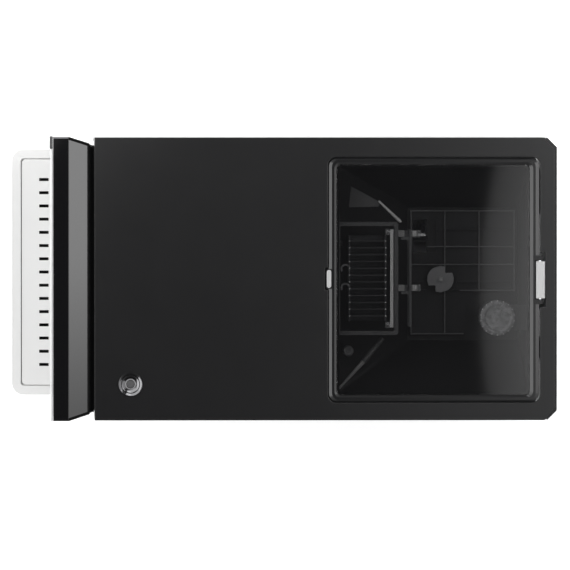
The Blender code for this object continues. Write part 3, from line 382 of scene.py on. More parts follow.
CLEAR_SHEET = Finish("clear_sheet", "clear_moulding", (0.55, 0.56, 0.57), 0.15, coat=0.5,
                     pattern=Pattern.SMOOTH, alpha=0.25)
TANK_PLASTIC = Finish("tank_moulding", "clear_moulding", (0.66, 0.69, 0.72), 0.22,
                      grain_scale=500, grain_depth=0.02, alpha=0.55)
CLEAR_HOSE = Finish("clear_hose", "hose", (0.74, 0.75, 0.74), 0.20, alpha=0.7,
                    pattern=Pattern.SMOOTH)
COPPER = Finish("drawn_copper", "copper_line", (0.72, 0.34, 0.19), 0.28, metallic=1.0,
                grain_scale=700, grain_depth=0.012, drift=0.18, handling=0.12)
ALUMINIUM = Finish("mill_aluminium", "bare_aluminium", (0.74, 0.75, 0.76), 0.34, metallic=1.0,
                   pattern=Pattern.BRUSHED_Z, grain_scale=600, grain_depth=0.012)
FIN_METAL = Finish("tinned_fin", "bare_aluminium", (0.10, 0.10, 0.105), 0.30, metallic=0.6,
                   grain_scale=800, grain_depth=0.015)
ENAMEL = Finish("black_enamel", "black_enamel", (0.012, 0.012, 0.013), 0.24, coat=0.5,
                pattern=Pattern.CAST, grain_scale=260, grain_depth=0.05)
RUBBER = Finish("foot_rubber", "foot_rubber", (0.018, 0.018, 0.018), 0.82,
                grain_scale=700, grain_depth=0.05, dust=0.08)
# Near-black with almost no gloss: paints the dark shadow line along the head's sloped end edges.
SHADOW_LINE_BLACK = Finish("shadow_line_black", "seal_rubber", (0.003, 0.003, 0.003), 0.85, specular=0.1,
                    grain_depth=0.02)
SOFT_SEAL = Finish("soft_seal", "seal_rubber", (0.022, 0.022, 0.023), 0.62, grain_depth=0.03)
MOTOR_GREY = Finish("motor_casing", "motor_casing", (0.22, 0.22, 0.23), 0.45, drift=0.08)
BOARD_GREEN = Finish("board_green", "circuit_board", (0.015, 0.13, 0.055), 0.35, coat=0.5)
CHIP_BLACK = Finish("chip_black", "circuit_board", (0.012, 0.012, 0.013), 0.5)
ICON_GREY = Finish("icon_print", "gloss_black", (0.55, 0.57, 0.60), 0.4, glow=0.25,
                   pattern=Pattern.SMOOTH)


# ------------------------------------------------------------------ mesh tools
def new_mesh(*sources: str) -> bmesh.types.BMesh:
    """A bmesh that starts empty, or from merged copies of CAD nodes.

    Args:
        sources: the nodes to copy, if any.

    Returns:
        The bmesh, with flat areas made one face.
    """
    bm = bmesh.new()
    for node in sources:
        bm.from_mesh(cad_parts[node].data)
    if sources:
        bmesh.ops.remove_doubles(bm, verts=bm.verts, dist=WELD)
        bmesh.ops.dissolve_limit(bm, angle_limit=FLAT_WITHIN, verts=bm.verts, edges=bm.edges)
    return bm


def block(bm: bmesh.types.BMesh, low: Point, high: Point) -> list[bmesh.types.BMVert]:
    """Adds a box between two corners and returns its vertices."""
    low, high = Vector(low), Vector(high)
    made = bmesh.ops.create_cube(bm, size=1.0)["verts"]
    bmesh.ops.scale(bm, vec=high - low, verts=made)
    bmesh.ops.translate(bm, vec=(low + high) / 2, verts=made)
    return made


def rod(bm: bmesh.types.BMesh, start: Point, end: Point, radius: float,
        end_radius: Optional[float] = None, sides: int = 32) -> list[bmesh.types.BMVert]:
    """Adds a round bar.

    Args:
        bm: the mesh it is added to.
        start: centre of its first end.
        end: centre of its last end.
        radius: its radius at the start.
        end_radius: its radius at the end, if that differs.
        sides: how many sides it has.

    Returns:
        Its vertices.
    """
    start, end = Vector(start), Vector(end)
    along = end - start
    turn = Vector((0, 0, 1)).rotation_difference(along).to_matrix().to_4x4()
    made = bmesh.ops.create_cone(
        bm, cap_ends=True, segments=sides, radius1=radius,
        radius2=radius if end_radius is None else end_radius, depth=along.length,
        matrix=Matrix.Translation((start + end) / 2) @ turn,
    )
    return made["verts"]


def lathe(bm: bmesh.types.BMesh, profile: Profile, centre: Point = (0, 0, 0),
          axis: Axis = Axis.Z, steps: int = 48) -> None:
    """Spins a closed profile of (radius, height) points into a turned shape.

    Args:
        bm: the mesh it is added to.
        profile: the points, in order.
        centre: a point on the spin axis.
        axis: the row axis it spins about.
        steps: how many facets it has.
    """
    rows = [bm.verts.new((radius, 0, height)) for radius, height in profile]
    edges = [bm.edges.new(pair) for pair in zip(rows, rows[1:] + rows[:1])]
    before = set(bm.verts) - set(rows)
    bmesh.ops.spin(bm, geom=rows + edges, cent=(0, 0, 0), axis=(0, 0, 1),
                   angle=2 * math.pi, steps=steps, use_merge=True)
    fresh = [vert for vert in bm.verts if vert not in before]
    bmesh.ops.remove_doubles(bm, verts=fresh, dist=WELD)
    fresh = [vert for vert in bm.verts if vert not in before]
    bmesh.ops.transform(bm, matrix=Matrix.Translation(centre) @ axis.value, verts=fresh)
    faces = {face for vert in fresh for face in vert.link_faces}
    bmesh.ops.recalc_face_normals(bm, faces=list(faces))


def soften(bm: bmesh.types.BMesh, width: float, segments: int = 3, sharper: float = 28.0,
           only: Optional[Callable[[bmesh.types.BMEdge], bool]] = None) -> None:
    """Rounds the edges of a mesh that turn more than an angle.

    Args:
        bm: the mesh.
        width: the rounding's width.
        segments: how many strips it has.
        sharper: the least angle that is rounded, in degrees.
        only: a test that an edge has to pass as well, if given.
    """
    limit = math.radians(sharper)
    edges = [
        edge for edge in bm.edges
        if len(edge.link_faces) == 2 and edge.calc_face_angle(0.0) > limit
        and (only is None or only(edge))
    ]
    bmesh.ops.bevel(bm, geom=edges, offset=width, offset_type="OFFSET", segments=segments,
                    profile=0.5, affect="EDGES", clamp_overlap=True, material=-1)


def plate(bm: bmesh.types.BMesh, low: Point, high: Point, corner: float,
          steps: int = 8) -> None:
    """Adds a box whose upright edges are round corners.

    Args:
        bm: the mesh it is added to.
        low: its lowest corner.
        high: its highest corner.
        corner: the corners' radius.
        steps: how many strips each corner has.
    """
    verts = block(bm, low, high)
    upright = {
        edge for vert in verts for edge in vert.link_edges
        if abs(edge.verts[0].co.z - edge.verts[1].co.z) > WELD
    }
    bmesh.ops.bevel(bm, geom=list(upright), offset=corner, offset_type="OFFSET",
                    segments=steps, profile=0.5, affect="EDGES", material=-1)


@dataclass
class Workshop:
    """Makes finished pieces out of meshes, and dresses the CAD's own nodes."""

    groups: ShaderGroups = field(default_factory=ShaderGroups)
    made: int = 0

    def piece(self, name: str, bm: bmesh.types.BMesh, body: str, finish: Finish,
              stands_for: Iterable[str] = ()) -> bpy.types.Object:
        """Turns a bmesh, which it frees, into a piece that rides on a body.

        Args:
            name: the piece's name.
            bm: its mesh, in the row frame.
            body: the CAD body that it moves with.
            finish: its finish.
            stands_for: the CAD nodes that it is shown in place of.

        Returns:
            The piece.
        """
        mesh = bpy.data.meshes.new(name)
        bm.to_mesh(mesh)
        bm.free()
        mesh.shade_smooth()
        mesh.set_sharp_from_angle(angle=ROUND_BELOW)
        made = bpy.data.objects.new(name, mesh)
        bpy.context.scene.collection.objects.link(made)
        made.data.materials.append(finish.material(self.groups))
        level = made.modifiers.new("flat_faces_stay_flat", "WEIGHTED_NORMAL")
        level.keep_sharp = True
        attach(made, body)
        if stands_for:
            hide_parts(*stands_for)
        self.made += 1
        LOG.info("%s: %d faces on %s", name, len(mesh.polygons), body)
        return made

    def refined(self, node: str, finish: Finish, width: float, body: str = CABINET,
                segments: int = 3, sharper: float = 28.0) -> bpy.types.Object:
        """A copy of a CAD node with rounded edges, shown in its place.

        Args:
            node: the CAD node.
            finish: its finish.
            width: how wide its edges are rounded.
            body: the body that it moves with.
            segments: how many strips each rounding has.
            sharper: the least angle that is rounded, in degrees.

        Returns:
            The piece.
        """
        bm = new_mesh(node)
        soften(bm, width, segments, sharper)
        return self.piece(f"{node}_finished", bm, body, finish, [node])

    def dress(self, node: str, finish: Finish, smooth: float = 35.0) -> None:
        """Gives a CAD node, which is shown as it is, its finish.

        Args:
            node: the CAD node.
            finish: its finish.
            smooth: edges that turn less than this many degrees are shaded round.
        """
        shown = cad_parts[node]
        shown.data.materials.clear()
        shown.data.materials.append(finish.material(self.groups))
        weld = shown.modifiers.new("joined_triangles", "WELD")
        weld.merge_threshold = WELD * 10
        rounded = shown.modifiers.new("edge_highlight", "BEVEL")
        rounded.width = 0.25 * MM
        rounded.segments = 2
        rounded.limit_method = "ANGLE"
        rounded.angle_limit = math.radians(smooth)
        LOG.info("%s keeps its CAD shape", node)

    def screws(self, name: str, places: Sequence[Point], axis: Point, finish: Finish,
               body: str = CABINET, radius: float = 3.2 * MM) -> None:
        """Cross-head screws, each with a domed head and a recess.

        Args:
            name: the group's name; each screw adds its number.
            places: centre of each head's seat.
            axis: the way the heads face.
            finish: their finish.
            body: the body that they ride on.
            radius: radius of a head.
        """
        turn = Vector((0, 0, 1)).rotation_difference(Vector(axis)).to_matrix().to_4x4()
        for index, place in enumerate(places, 1):
            bm = bmesh.new()
            tall = radius * 0.42
            lathe(bm, [(0, 0), (radius, 0), (radius, tall * 0.35), (radius * 0.86, tall * 0.8),
                       (radius * 0.5, tall), (0, tall)], steps=20)
            bmesh.ops.transform(bm, matrix=Matrix.Translation(place) @ turn, verts=bm.verts)
            self.piece(f"{name}_{index}", bm, body, finish)
            for quarter in (0, 1):
                arm = bmesh.new()
                slot = block(arm, (-radius * 0.55, -radius * 0.11, tall * 0.86),
                             (radius * 0.55, radius * 0.11, tall * 1.02))
                spin = Matrix.Rotation(quarter * math.pi / 2, 4, "Z")
                seat = Matrix.Translation(place) @ turn @ spin
                bmesh.ops.transform(arm, matrix=seat, verts=slot)
                soften(arm, radius * 0.03, 1)
                self.piece(f"{name}_{index}_slot_{quarter + 1}", arm, body, CHIP_BLACK)


# ------------------------------------------------------------------ cabinet
@dataclass
class Cabinet:
    """Pan, feet, side and back sheets and the moulded top cover."""

    shop: Workshop
    edge: float = 0.9 * MM
    front_half: float = 0.1350
    front_overlap: float = 1.5 * MM
    screw_inset: float = 16.5 * MM
    screw_depth: float = 1.36 * MM
    screw_below_top: float = 14.0 * MM
    screw_above_pan: float = 12.0 * MM
    foot_names: tuple[str, ...] = ("foot_front_left", "foot_front_right",
                                   "foot_rear_left", "foot_rear_right")

    def feet(self) -> None:
        """Rubber feet with a moulded ring and a hollow round the screw."""
        for node in self.foot_names:
            low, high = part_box(node)
            centre = ((low.x + high.x) / 2, (low.y + high.y) / 2, 0)
            wide = (high.x - low.x) / 2
            profile = [(0, 1.2 * MM), (wide * 0.28, 1.2 * MM), (wide * 0.34, 0),
                       (wide * 0.86, 0), (wide * 0.97, 1.2 * MM), (wide, 3 * MM),
                       (wide * 0.97, 5 * MM), (wide * 0.93, 5.6 * MM), (wide * 0.94, 6.4 * MM),
                       (wide * 0.88, high.z - 0.6 * MM), (wide * 0.84, high.z), (0, high.z)]
            bm = bmesh.new()
            lathe(bm, profile, centre)
            self.shop.piece(f"{node}_moulded", bm, CABINET, RUBBER, [node])

    def sheets(self) -> None:
        """Pan, narrowed under the head's neck, then the sides and the back."""
        bm = new_mesh("base_pan")
        cover_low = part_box("top_cover")[0]
        for vert in bm.verts:
            if vert.co.y < cover_low.y + self.front_overlap:
                vert.co.x = max(-self.front_half, min(self.front_half, vert.co.x))
        soften(bm, 0.5 * MM, 2)
        self.shop.piece("base_pan_finished", bm, CABINET, SILVER_SHEET, ["base_pan"])
        for side in ("left", "right"):
            self.shop.refined(f"{side}_side_panel", SILVER_SHEET, 0.35 * MM, segments=2)
        back = self.shop.refined("rear_panel", SILVER_SHEET, 0.35 * MM, segments=2, sharper=50)
        back.data.materials.append(SATIN_BLACK.material(self.shop.groups))
        for face in back.data.polygons:
            face.material_index = int(face.center.z > cover_low.z)
        low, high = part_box("rear_panel")
        heights = [low.z + self.screw_above_pan, (low.z + high.z) / 2,
                   high.z - self.screw_below_top]
        places = [(side * (high.x - self.screw_inset), high.y - self.screw_depth, z)
                  for side in (-1, 1) for z in heights]
        self.shop.screws("rear_screw", places, (0, 1, 0), TURNED_STEEL, radius=2.8 * MM)

    def cover(self) -> None:
        """Top cover, its edges rounded more than the rest."""
        self.shop.refined("top_cover", SATIN_BLACK, self.edge, segments=4)

    def build(self) -> None:
        """Builds the whole sub-assembly."""
        self.feet()
        self.sheets()
        self.cover()


# ------------------------------------------------------------------ head and bay
@dataclass
class DispenserHead:
    """Head over the bay: shell, steel face, display glass, bay liner and spout."""

    shop: Workshop
    slab_deep: float = 16.0 * MM
    slope_foot: tuple[float, float, float] = (137.4 * MM, 36.9 * MM, 8.3 * MM)
    slope_top_x: float = 144.1 * MM
    bead_radius: float = 1.5 * MM
    end_line: float = 0.135
    print_depth: float = 0.06 * MM
    icon_pitch: float = 48.0 * MM
    icon_radius: float = 12.5 * MM
    icon_rise: float = 8.0 * MM
    dot_pitch: float = 16.0 * MM
    dots: int = 5

    def shell(self) -> None:
        """Gloss shell, steel plate and the end trim."""
        low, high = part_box("head_housing")
        roof_line = high.z - 30 * MM
        bm = new_mesh("head_housing")
        soften(bm, 1.7 * MM, 5, sharper=60, only=lambda edge: self.is_end_edge(edge, roof_line))
        soften(bm, 0.6 * MM, 3, sharper=21,
               only=lambda edge: not self.is_end_edge(edge, roof_line))
        self.shop.piece("head_housing_finished", bm, CABINET, PIANO_BLACK, ["head_housing"])
        bm = bmesh.new()
        block(bm, (low.x + 0.15 * MM, low.y + 0.3 * MM, high.z - 0.9 * MM),
              (low.x + 1.9 * MM, low.y + self.slab_deep - 0.2 * MM, high.z + 0.25 * MM))
        soften(bm, 0.4 * MM, 2)
        self.shop.piece("head_end_strip", bm, CABINET, CLIP_GREY)
        across, back, down = self.slope_foot
        # Black beads along each diagonal end edge of the head's slope: a painted shadow line along
        # that edge.
        for name, side in (("left", -1), ("right", 1)):
            bm = bmesh.new()
            rod(bm, (side * across, low.y + back, high.z - down),
                (side * self.slope_top_x, low.y + self.slab_deep, high.z - 0.1 * MM),
                self.bead_radius, sides=24)
            soften(bm, 0.3 * MM, 1, sharper=60)
            self.shop.piece(f"head_{name}_end_shadow_bead", bm, CABINET, SHADOW_LINE_BLACK)
        self.shop.refined("face_plate", BRUSHED_FACE, 0.5 * MM, segments=3)
        self.shop.refined("face_end_trim", TRIM_GREY, 0.5 * MM, segments=3)
        liner = self.shop.refined("bay_liner", BAY_WHITE, 0.6 * MM, segments=3)
        liner.data.materials.append(SATIN_BLACK.material(self.shop.groups))
        for face in liner.data.polygons:
            face.material_index = int(face.center.z > low.z)

    def is_end_edge(self, edge: bmesh.types.BMEdge, roof_line: float) -> bool:
        """Whether an edge runs along one end of the head's top.

        Args:
            edge: the edge.
            roof_line: a height just under the top.

        Returns:
            True for such an edge.
        """
        first, last = (vert.co for vert in edge.verts)
        along = abs(first.y - last.y) > 2 * abs(first.x - last.x)
        return along and min(first.z, last.z) > roof_line and abs(first.x) > self.end_line

    def display(self) -> None:
        """Black glass with printed icons: a ring, a drop, a cube and a row of dots."""
        self.shop.refined("display_glass", DISPLAY_BLACK, 0.3 * MM, segments=2)
        low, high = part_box("display_glass")
        face = low.y + 0.02 * MM
        back = face - self.print_depth
        middle = (low.z + high.z) / 2
        icon_z = middle + self.icon_rise
        line, radius = 0.6 * MM, self.icon_radius
        for name, place in (("ice_ring", -1), ("water_ring", 0), ("mix_ring", 1)):
            bm = bmesh.new()
            lathe(bm, [(radius - line, back), (radius, back), (radius, face),
                       (radius - line, face)],
                  (place * self.icon_pitch, 0, icon_z), Axis.Y, steps=64)
            self.shop.piece(f"display_{name}", bm, CABINET, ICON_GREY)
        half = 4.5 * MM
        bm = bmesh.new()
        cube = block(bm, (-half, back, -half), (half, face, half))
        turn = Matrix.Translation((-self.icon_pitch, 0, icon_z)) @ Matrix.Rotation(0.35, 4, "Y")
        bmesh.ops.transform(bm, matrix=turn, verts=cube)
        soften(bm, 0.8 * MM, 2, only=self.runs_through)
        self.shop.piece("display_cube", bm, CABINET, ICON_GREY)
        drop, drop_z, taper = 4.2 * MM, middle + 6 * MM, 6.5 * MM
        bm = bmesh.new()
        lathe(bm, [(0, back), (drop, back), (drop, face), (0, face)], (0, 0, drop_z), Axis.Y,
              steps=32)
        for vert in bm.verts:
            above = vert.co.z - drop_z
            if above > 0:
                vert.co.z += above * 0.9
                vert.co.x *= 1 - above / taper
        self.shop.piece("display_drop", bm, CABINET, ICON_GREY)
        dot, dot_z = 1.1 * MM, middle - 26 * MM
        for index in range(self.dots):
            x = (index - (self.dots - 1) / 2) * self.dot_pitch
            bm = bmesh.new()
            lathe(bm, [(0, back), (dot, back), (dot, face), (0, face)], (x, 0, dot_z), Axis.Y,
                  steps=20)
            self.shop.piece(f"display_dot_{index + 1}", bm, CABINET, ICON_GREY)

    @staticmethod
    def runs_through(edge: bmesh.types.BMEdge) -> bool:
        """Whether an edge runs from the print's front to its back."""
        first, last = (vert.co for vert in edge.verts)
        return abs(first.y - last.y) > WELD * 10

    def spout(self) -> None:
        """Chromed water spout with an aerator ring."""
        low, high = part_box("water_spout")
        centre = ((low.x + high.x) / 2, (low.y + high.y) / 2, 0)
        bore, lip, barrel, flange = 3.0 * MM, 6.0 * MM, 7.4 * MM, 10.5 * MM
        seat = high.z - 6 * MM
        profile = [(bore, low.z), (lip - 0.5 * MM, low.z), (lip, low.z + 0.5 * MM),
                   (lip + 0.3 * MM, low.z + 2.2 * MM), (barrel - 0.4 * MM, low.z + 6.5 * MM),
                   (barrel, low.z + 8.5 * MM), (barrel, seat - 2 * MM), (barrel, seat),
                   (flange, seat), (flange, seat + 3 * MM), (5 * MM, high.z), (bore, high.z)]
        bm = bmesh.new()
        lathe(bm, profile, centre)
        self.shop.piece("water_spout_turned", bm, CABINET, CHROME, ["water_spout"])

    def build(self) -> None:
        """Builds the whole sub-assembly."""
        self.shell()
        self.display()
        self.spout()


# ------------------------------------------------------------------ window lid
@dataclass
class WindowLid:
    """Smoked window in its frame, with the hinge and the seal."""

    shop: Workshop
    body: str = "lid"

    def frame_and_pane(self) -> None:
        """Frame with rounded lips, and the pane that lies on its ledge."""
        self.shop.refined("lid_frame", LID_BLACK, 0.35 * MM, self.body, segments=2, sharper=12)
        self.shop.refined("lid_window", SMOKED_PANE, 0.4 * MM, self.body, segments=2)
        low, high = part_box("lid_frame")
        tab_half, tab_deep = 9.2 * MM, 5.0 * MM
        bm = bmesh.new()
        plate(bm, (-tab_half, low.y + 0.5 * MM, high.z - 1.4 * MM),
              (tab_half, low.y + tab_deep, high.z), 2.0 * MM)
        soften(bm, 0.4 * MM, 2)
        self.shop.piece("lid_thumb_pad", bm, self.body, PALE_HINGE)

    def hinge(self) -> None:
        """Fixed hinge block, its pin with domed ends, and the seal."""
        self.shop.refined("hinge_block", PALE_HINGE, 0.6 * MM, segments=3)
        low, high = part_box("hinge_pin")
        radius = (high.z - low.z) / 2
        centre = (0, (low.y + high.y) / 2, (low.z + high.z) / 2)
        profile = [(0, low.x), (radius * 0.7, low.x), (radius, low.x + 0.5 * MM),
                   (radius, high.x - 0.5 * MM), (radius * 0.7, high.x), (0, high.x)]
        bm = bmesh.new()
        lathe(bm, profile, centre, Axis.X, steps=24)
        self.shop.piece("hinge_pin_turned", bm, CABINET, CHROME, ["hinge_pin"])
        self.shop.refined("lid_seal", SOFT_SEAL, 0.5 * MM, segments=2)

    def build(self) -> None:
        """Builds the whole sub-assembly."""
        self.frame_and_pane()
        self.hinge()


# ------------------------------------------------------------------ ice bin
@dataclass
class IceBin:
    """Tub with its drain plate, paddle, freezing block, curtain and filter canister."""

    shop: Workshop
    fins: int = 12
    fin_pitch: float = 7.0 * MM
    grip_ribs: int = 18
    lug_x: float = 47.8 * MM
    clip_x: tuple[float, float] = (-10.0 * MM, 9.5 * MM)
    side_clip_x: tuple[float, float] = (-11.5 * MM, 6.5 * MM)
    cam_x: tuple[float, float] = (-46.0 * MM, 10.0 * MM)
    bracket_y: float = 0.1185
    probe_level: float = 0.4040
    gusset: tuple[tuple[float, float], ...] = ((-0.0945, 0.0700), (-0.0780, 0.1005),
                                               (-0.0735, 0.0985), (-0.0730, 0.0680))
    probe: tuple[tuple[float, float], ...] = ((-0.0795, 0.0985), (-0.0600, 0.1190))
    probe_tip: tuple[tuple[float, float], ...] = ((-0.0602, 0.1188), (-0.0575, 0.1216))
    nozzle: tuple[Point, Point] = ((0.1135, 0.0580, 0.4000), (0.0860, 0.0830, 0.4000))
    sleeve: tuple[Point, Point] = ((0.0862, 0.0828, 0.4000), (0.0620, 0.1030, 0.3960))
    boss: tuple[float, float] = (0.0750, 0.0675)
    boss_foot: float = 0.385

    def tub(self) -> None:
        """Tub, drain plate and paddle."""
        for node in ("ice_bin", "bin_hopper"):
            self.shop.refined(node, BIN_PLASTIC, 0.8 * MM, segments=3, sharper=30)
        self.shop.refined("floor_grid", RACK_PLASTIC, 0.35 * MM, segments=2)
        self.rib_caps()
        self.shop.refined("agitator", WING_PLASTIC, 0.5 * MM, "bin_agitator", segments=2)
        low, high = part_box("agitator")
        centre = ((low.x + high.x) / 2, (low.y + high.y) / 2, 0)
        rise = 2.6 * MM
        bm = bmesh.new()
        lathe(bm, [(0, high.z), (2.6 * MM, high.z), (2.4 * MM, high.z + rise * 0.6),
                   (1.4 * MM, high.z + rise), (0, high.z + rise)], centre, steps=24)
        self.shop.piece("agitator_nut", bm, "bin_agitator", PALE_BAR)

    def rib_caps(self) -> None:
        """Pale strips along the tops of the drain plate's ribs: a painted highlight where the rib
        tops catch light.
        """
        low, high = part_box("floor_grid")
        top, wide, gap = high.z + 0.25 * MM, 1.3 * MM, 0.15 * MM
        outlet_end, corner = low.y + 16.1 * MM, 15.0 * MM
        along_x = [(low.x, high.x, low.y), (low.x, high.x, 0.1690), (low.x, corner, 0.2045),
                   (low.x, corner, high.y - 1.6 * MM)]
        along_y = [(low.x, low.y, high.y), (-0.0320, outlet_end, high.y), (-0.0135, low.y, high.y),
                   (0.0134, 0.1850, high.y), (high.x - 1.6 * MM, low.y, 0.1895)]
        # The strips are a paler grey than the plate: painted highlight on the rib tops.
        bm = bmesh.new()
        for start, end, y in along_x:
            block(bm, (start, y + gap, top - 0.9 * MM), (end, y + wide, top))
        for x, start, end in along_y:
            block(bm, (x + gap, start, top - 1.0 * MM), (x + wide, end, top - 0.05 * MM))
        soften(bm, 0.2 * MM, 1)
        self.shop.piece("floor_grid_highlight_strips", bm, CABINET, RIB_GREY)

    def canister(self) -> None:
        """Filter canister, and its cap with a rolled rim and grip ribs."""
        self.shop.refined("filter_canister", GUSSET_GREY, 0.8 * MM, segments=3)
        low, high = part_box("filter_cap")
        centre = Vector(((low.x + high.x) / 2, (low.y + high.y) / 2, 0))
        wide, base, top = (high.x - low.x) / 2, low.z, high.z
        profile = [(0, base), (wide - 1.4 * MM, base), (wide, base + 1.2 * MM),
                   (wide, top - 3 * MM), (wide - 1 * MM, top - 1 * MM), (wide - 3 * MM, top),
                   (wide - 5 * MM, top - 0.4 * MM), (wide - 6.4 * MM, top - 2 * MM),
                   (3 * MM, top - 2.6 * MM), (0, top - 2.6 * MM)]
        bm = bmesh.new()
        lathe(bm, profile, centre, steps=64)
        self.shop.piece("filter_cap_turned", bm, "canister_cap", CAP_PLASTIC, ["filter_cap"])
        bm = bmesh.new()
        for index in range(self.grip_ribs):
            angle = 2 * math.pi * index / self.grip_ribs
            verts = block(bm, (wide - 3.4 * MM, -0.45 * MM, top - 3.2 * MM),
                          (wide - 0.3 * MM, 0.45 * MM, top - 0.7 * MM))
            turn = Matrix.Translation(centre) @ Matrix.Rotation(angle, 4, "Z")
            bmesh.ops.transform(bm, matrix=turn, verts=verts)
        soften(bm, 0.15 * MM, 1)
        self.shop.piece("filter_cap_ribs", bm, "canister_cap", PALE_BAR)

    def freezing_block(self) -> None:
        """Housing with its comb, a pale bar that paints the highlight along the housing's inner
        rear edge, corner lugs and the two retaining clips.
        """
        self.shop.refined("evaporator_housing", HOUSING_PLASTIC, 0.8 * MM, segments=3)
        self.shop.refined("evaporator_comb", FIN_METAL, 0.2 * MM, segments=1)
        low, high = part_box("evaporator_housing")
        comb_low, comb_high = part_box("evaporator_comb")
        # The pale bar along the housing's inner rear edge is a painted highlight of that edge.
        bar_y, bar_z, end = comb_high.y + 4.4 * MM, high.z - 7 * MM, 7.5 * MM
        bm = bmesh.new()
        block(bm, (low.x + end, bar_y - 0.6 * MM, bar_z),
              (high.x - end, bar_y + 3.4 * MM, bar_z + 3 * MM))
        block(bm, (low.x + end, bar_y + 1.0 * MM, bar_z + 2.6 * MM),
              (high.x - end, bar_y + 2.6 * MM, bar_z + 4.4 * MM))
        soften(bm, 0.5 * MM, 3)
        self.shop.piece("evaporator_highlight_bar", bm, CABINET, PALE_BAR)
        half, comb_top = 0.6 * MM, comb_high.z
        bm = bmesh.new()
        for index in range(self.fins):
            x = self.fin_pitch * (index - (self.fins - 1) / 2)
            for y in (comb_low.y + 0.2 * MM, comb_high.y - 1.8 * MM):
                block(bm, (x - half, y, comb_top - 0.6 * MM),
                      (x + half, y + 1.6 * MM, comb_top + 0.8 * MM))
        soften(bm, 0.2 * MM, 1)
        self.shop.piece("evaporator_fin_tips", bm, CABINET, PALE_BAR)
        for index, side in enumerate((-1, 1), 1):
            bm = bmesh.new()
            x = side * self.lug_x
            block(bm, (x - 3.2 * MM, comb_high.y - 1 * MM, high.z - 9 * MM),
                  (x + 3.2 * MM, comb_high.y + 4.0 * MM, high.z - 6.5 * MM))
            soften(bm, 0.5 * MM, 2)
            self.shop.piece(f"evaporator_lug_{index}", bm, CABINET, CLIP_GREY)
        lugs = [(side * self.lug_x, comb_high.y + 1.6 * MM, high.z - 6.5 * MM)
                for side in (-1, 1)]
        self.shop.screws("evaporator_screw", lugs, (0, 0, 1), TURNED_STEEL, radius=1.7 * MM)
        inner, outer, tall = 3.2 * MM, 5.0 * MM, 3.2 * MM
        for index, x in enumerate(self.clip_x, 1):
            bm = bmesh.new()
            section = [(inner, 0), (outer, 0), (outer, tall), (inner, tall)]
            face = bm.faces.new([bm.verts.new((radius, 0, z)) for radius, z in section])
            bmesh.ops.spin(bm, geom=[face, *face.edges, *face.verts], cent=(0, 0, 0),
                           axis=(0, 0, 1), angle=math.radians(250), steps=18)
            bmesh.ops.recalc_face_normals(bm, faces=bm.faces)
            turn = Matrix.Translation((x, low.y + 8.6 * MM, high.z - 9 * MM))
            bmesh.ops.transform(bm, matrix=turn @ Matrix.Rotation(math.radians(55), 4, "Z"),
                                verts=bm.verts)
            self.shop.piece(f"evaporator_clip_{index}", bm, CABINET, CLIP_GREY)

    def side_clips(self) -> None:
        """Pairs of small ribbed clips that hold the block's housing to the bin's front wall."""
        low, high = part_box("evaporator_housing")
        pitch, wide = 4.2 * MM, 2.5 * MM
        for index, x in enumerate(self.side_clip_x, 1):
            bm = bmesh.new()
            for step in range(3):
                start = x - 5.5 * MM + step * pitch
                block(bm, (start, low.y - 4.5 * MM, high.z - 6 * MM),
                      (start + wide, low.y + 1.2 * MM, high.z - 3.5 * MM))
            block(bm, (x - 6.2 * MM, low.y - 1.6 * MM, high.z - 5.8 * MM),
                  (x + 6.2 * MM, low.y + 0.2 * MM, high.z - 4.6 * MM))
            soften(bm, 0.4 * MM, 2)
            self.shop.piece(f"housing_side_clip_{index}", bm, CABINET, GUSSET_GREY)

    def curtain(self) -> None:
        """Clear splash curtain, with a bright cam on each of its hinge arms."""
        self.shop.refined("splash_curtain", CLEAR_SHEET, 0.3 * MM, "curtain", segments=2)
        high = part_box("splash_curtain")[1]
        half, round_half, face, rim = 3.0 * MM, 2.6 * MM, 3.1 * MM, 3.4 * MM
        arm_top = high.z - 1.1 * MM
        for index, x in enumerate(self.cam_x, 1):
            bm = bmesh.new()
            lathe(bm, [(0, x - half), (face, x - half), (rim, x - round_half),
                       (rim, x + round_half), (face, x + half), (0, x + half)],
                  (0, high.y - 6.5 * MM, high.z - 0.9 * MM), Axis.X, steps=28)
            self.shop.piece(f"curtain_cam_{index}", bm, "curtain", PALE_HINGE)
            bm = bmesh.new()
            block(bm, (x - rim, self.bracket_y, arm_top - 1.0 * MM),
                  (x + rim, self.bracket_y + 6.4 * MM, arm_top + 0.4 * MM))
            soften(bm, 0.5 * MM, 2)
            self.shop.piece(f"curtain_bracket_cap_{index}", bm, CABINET, PALE_HINGE)

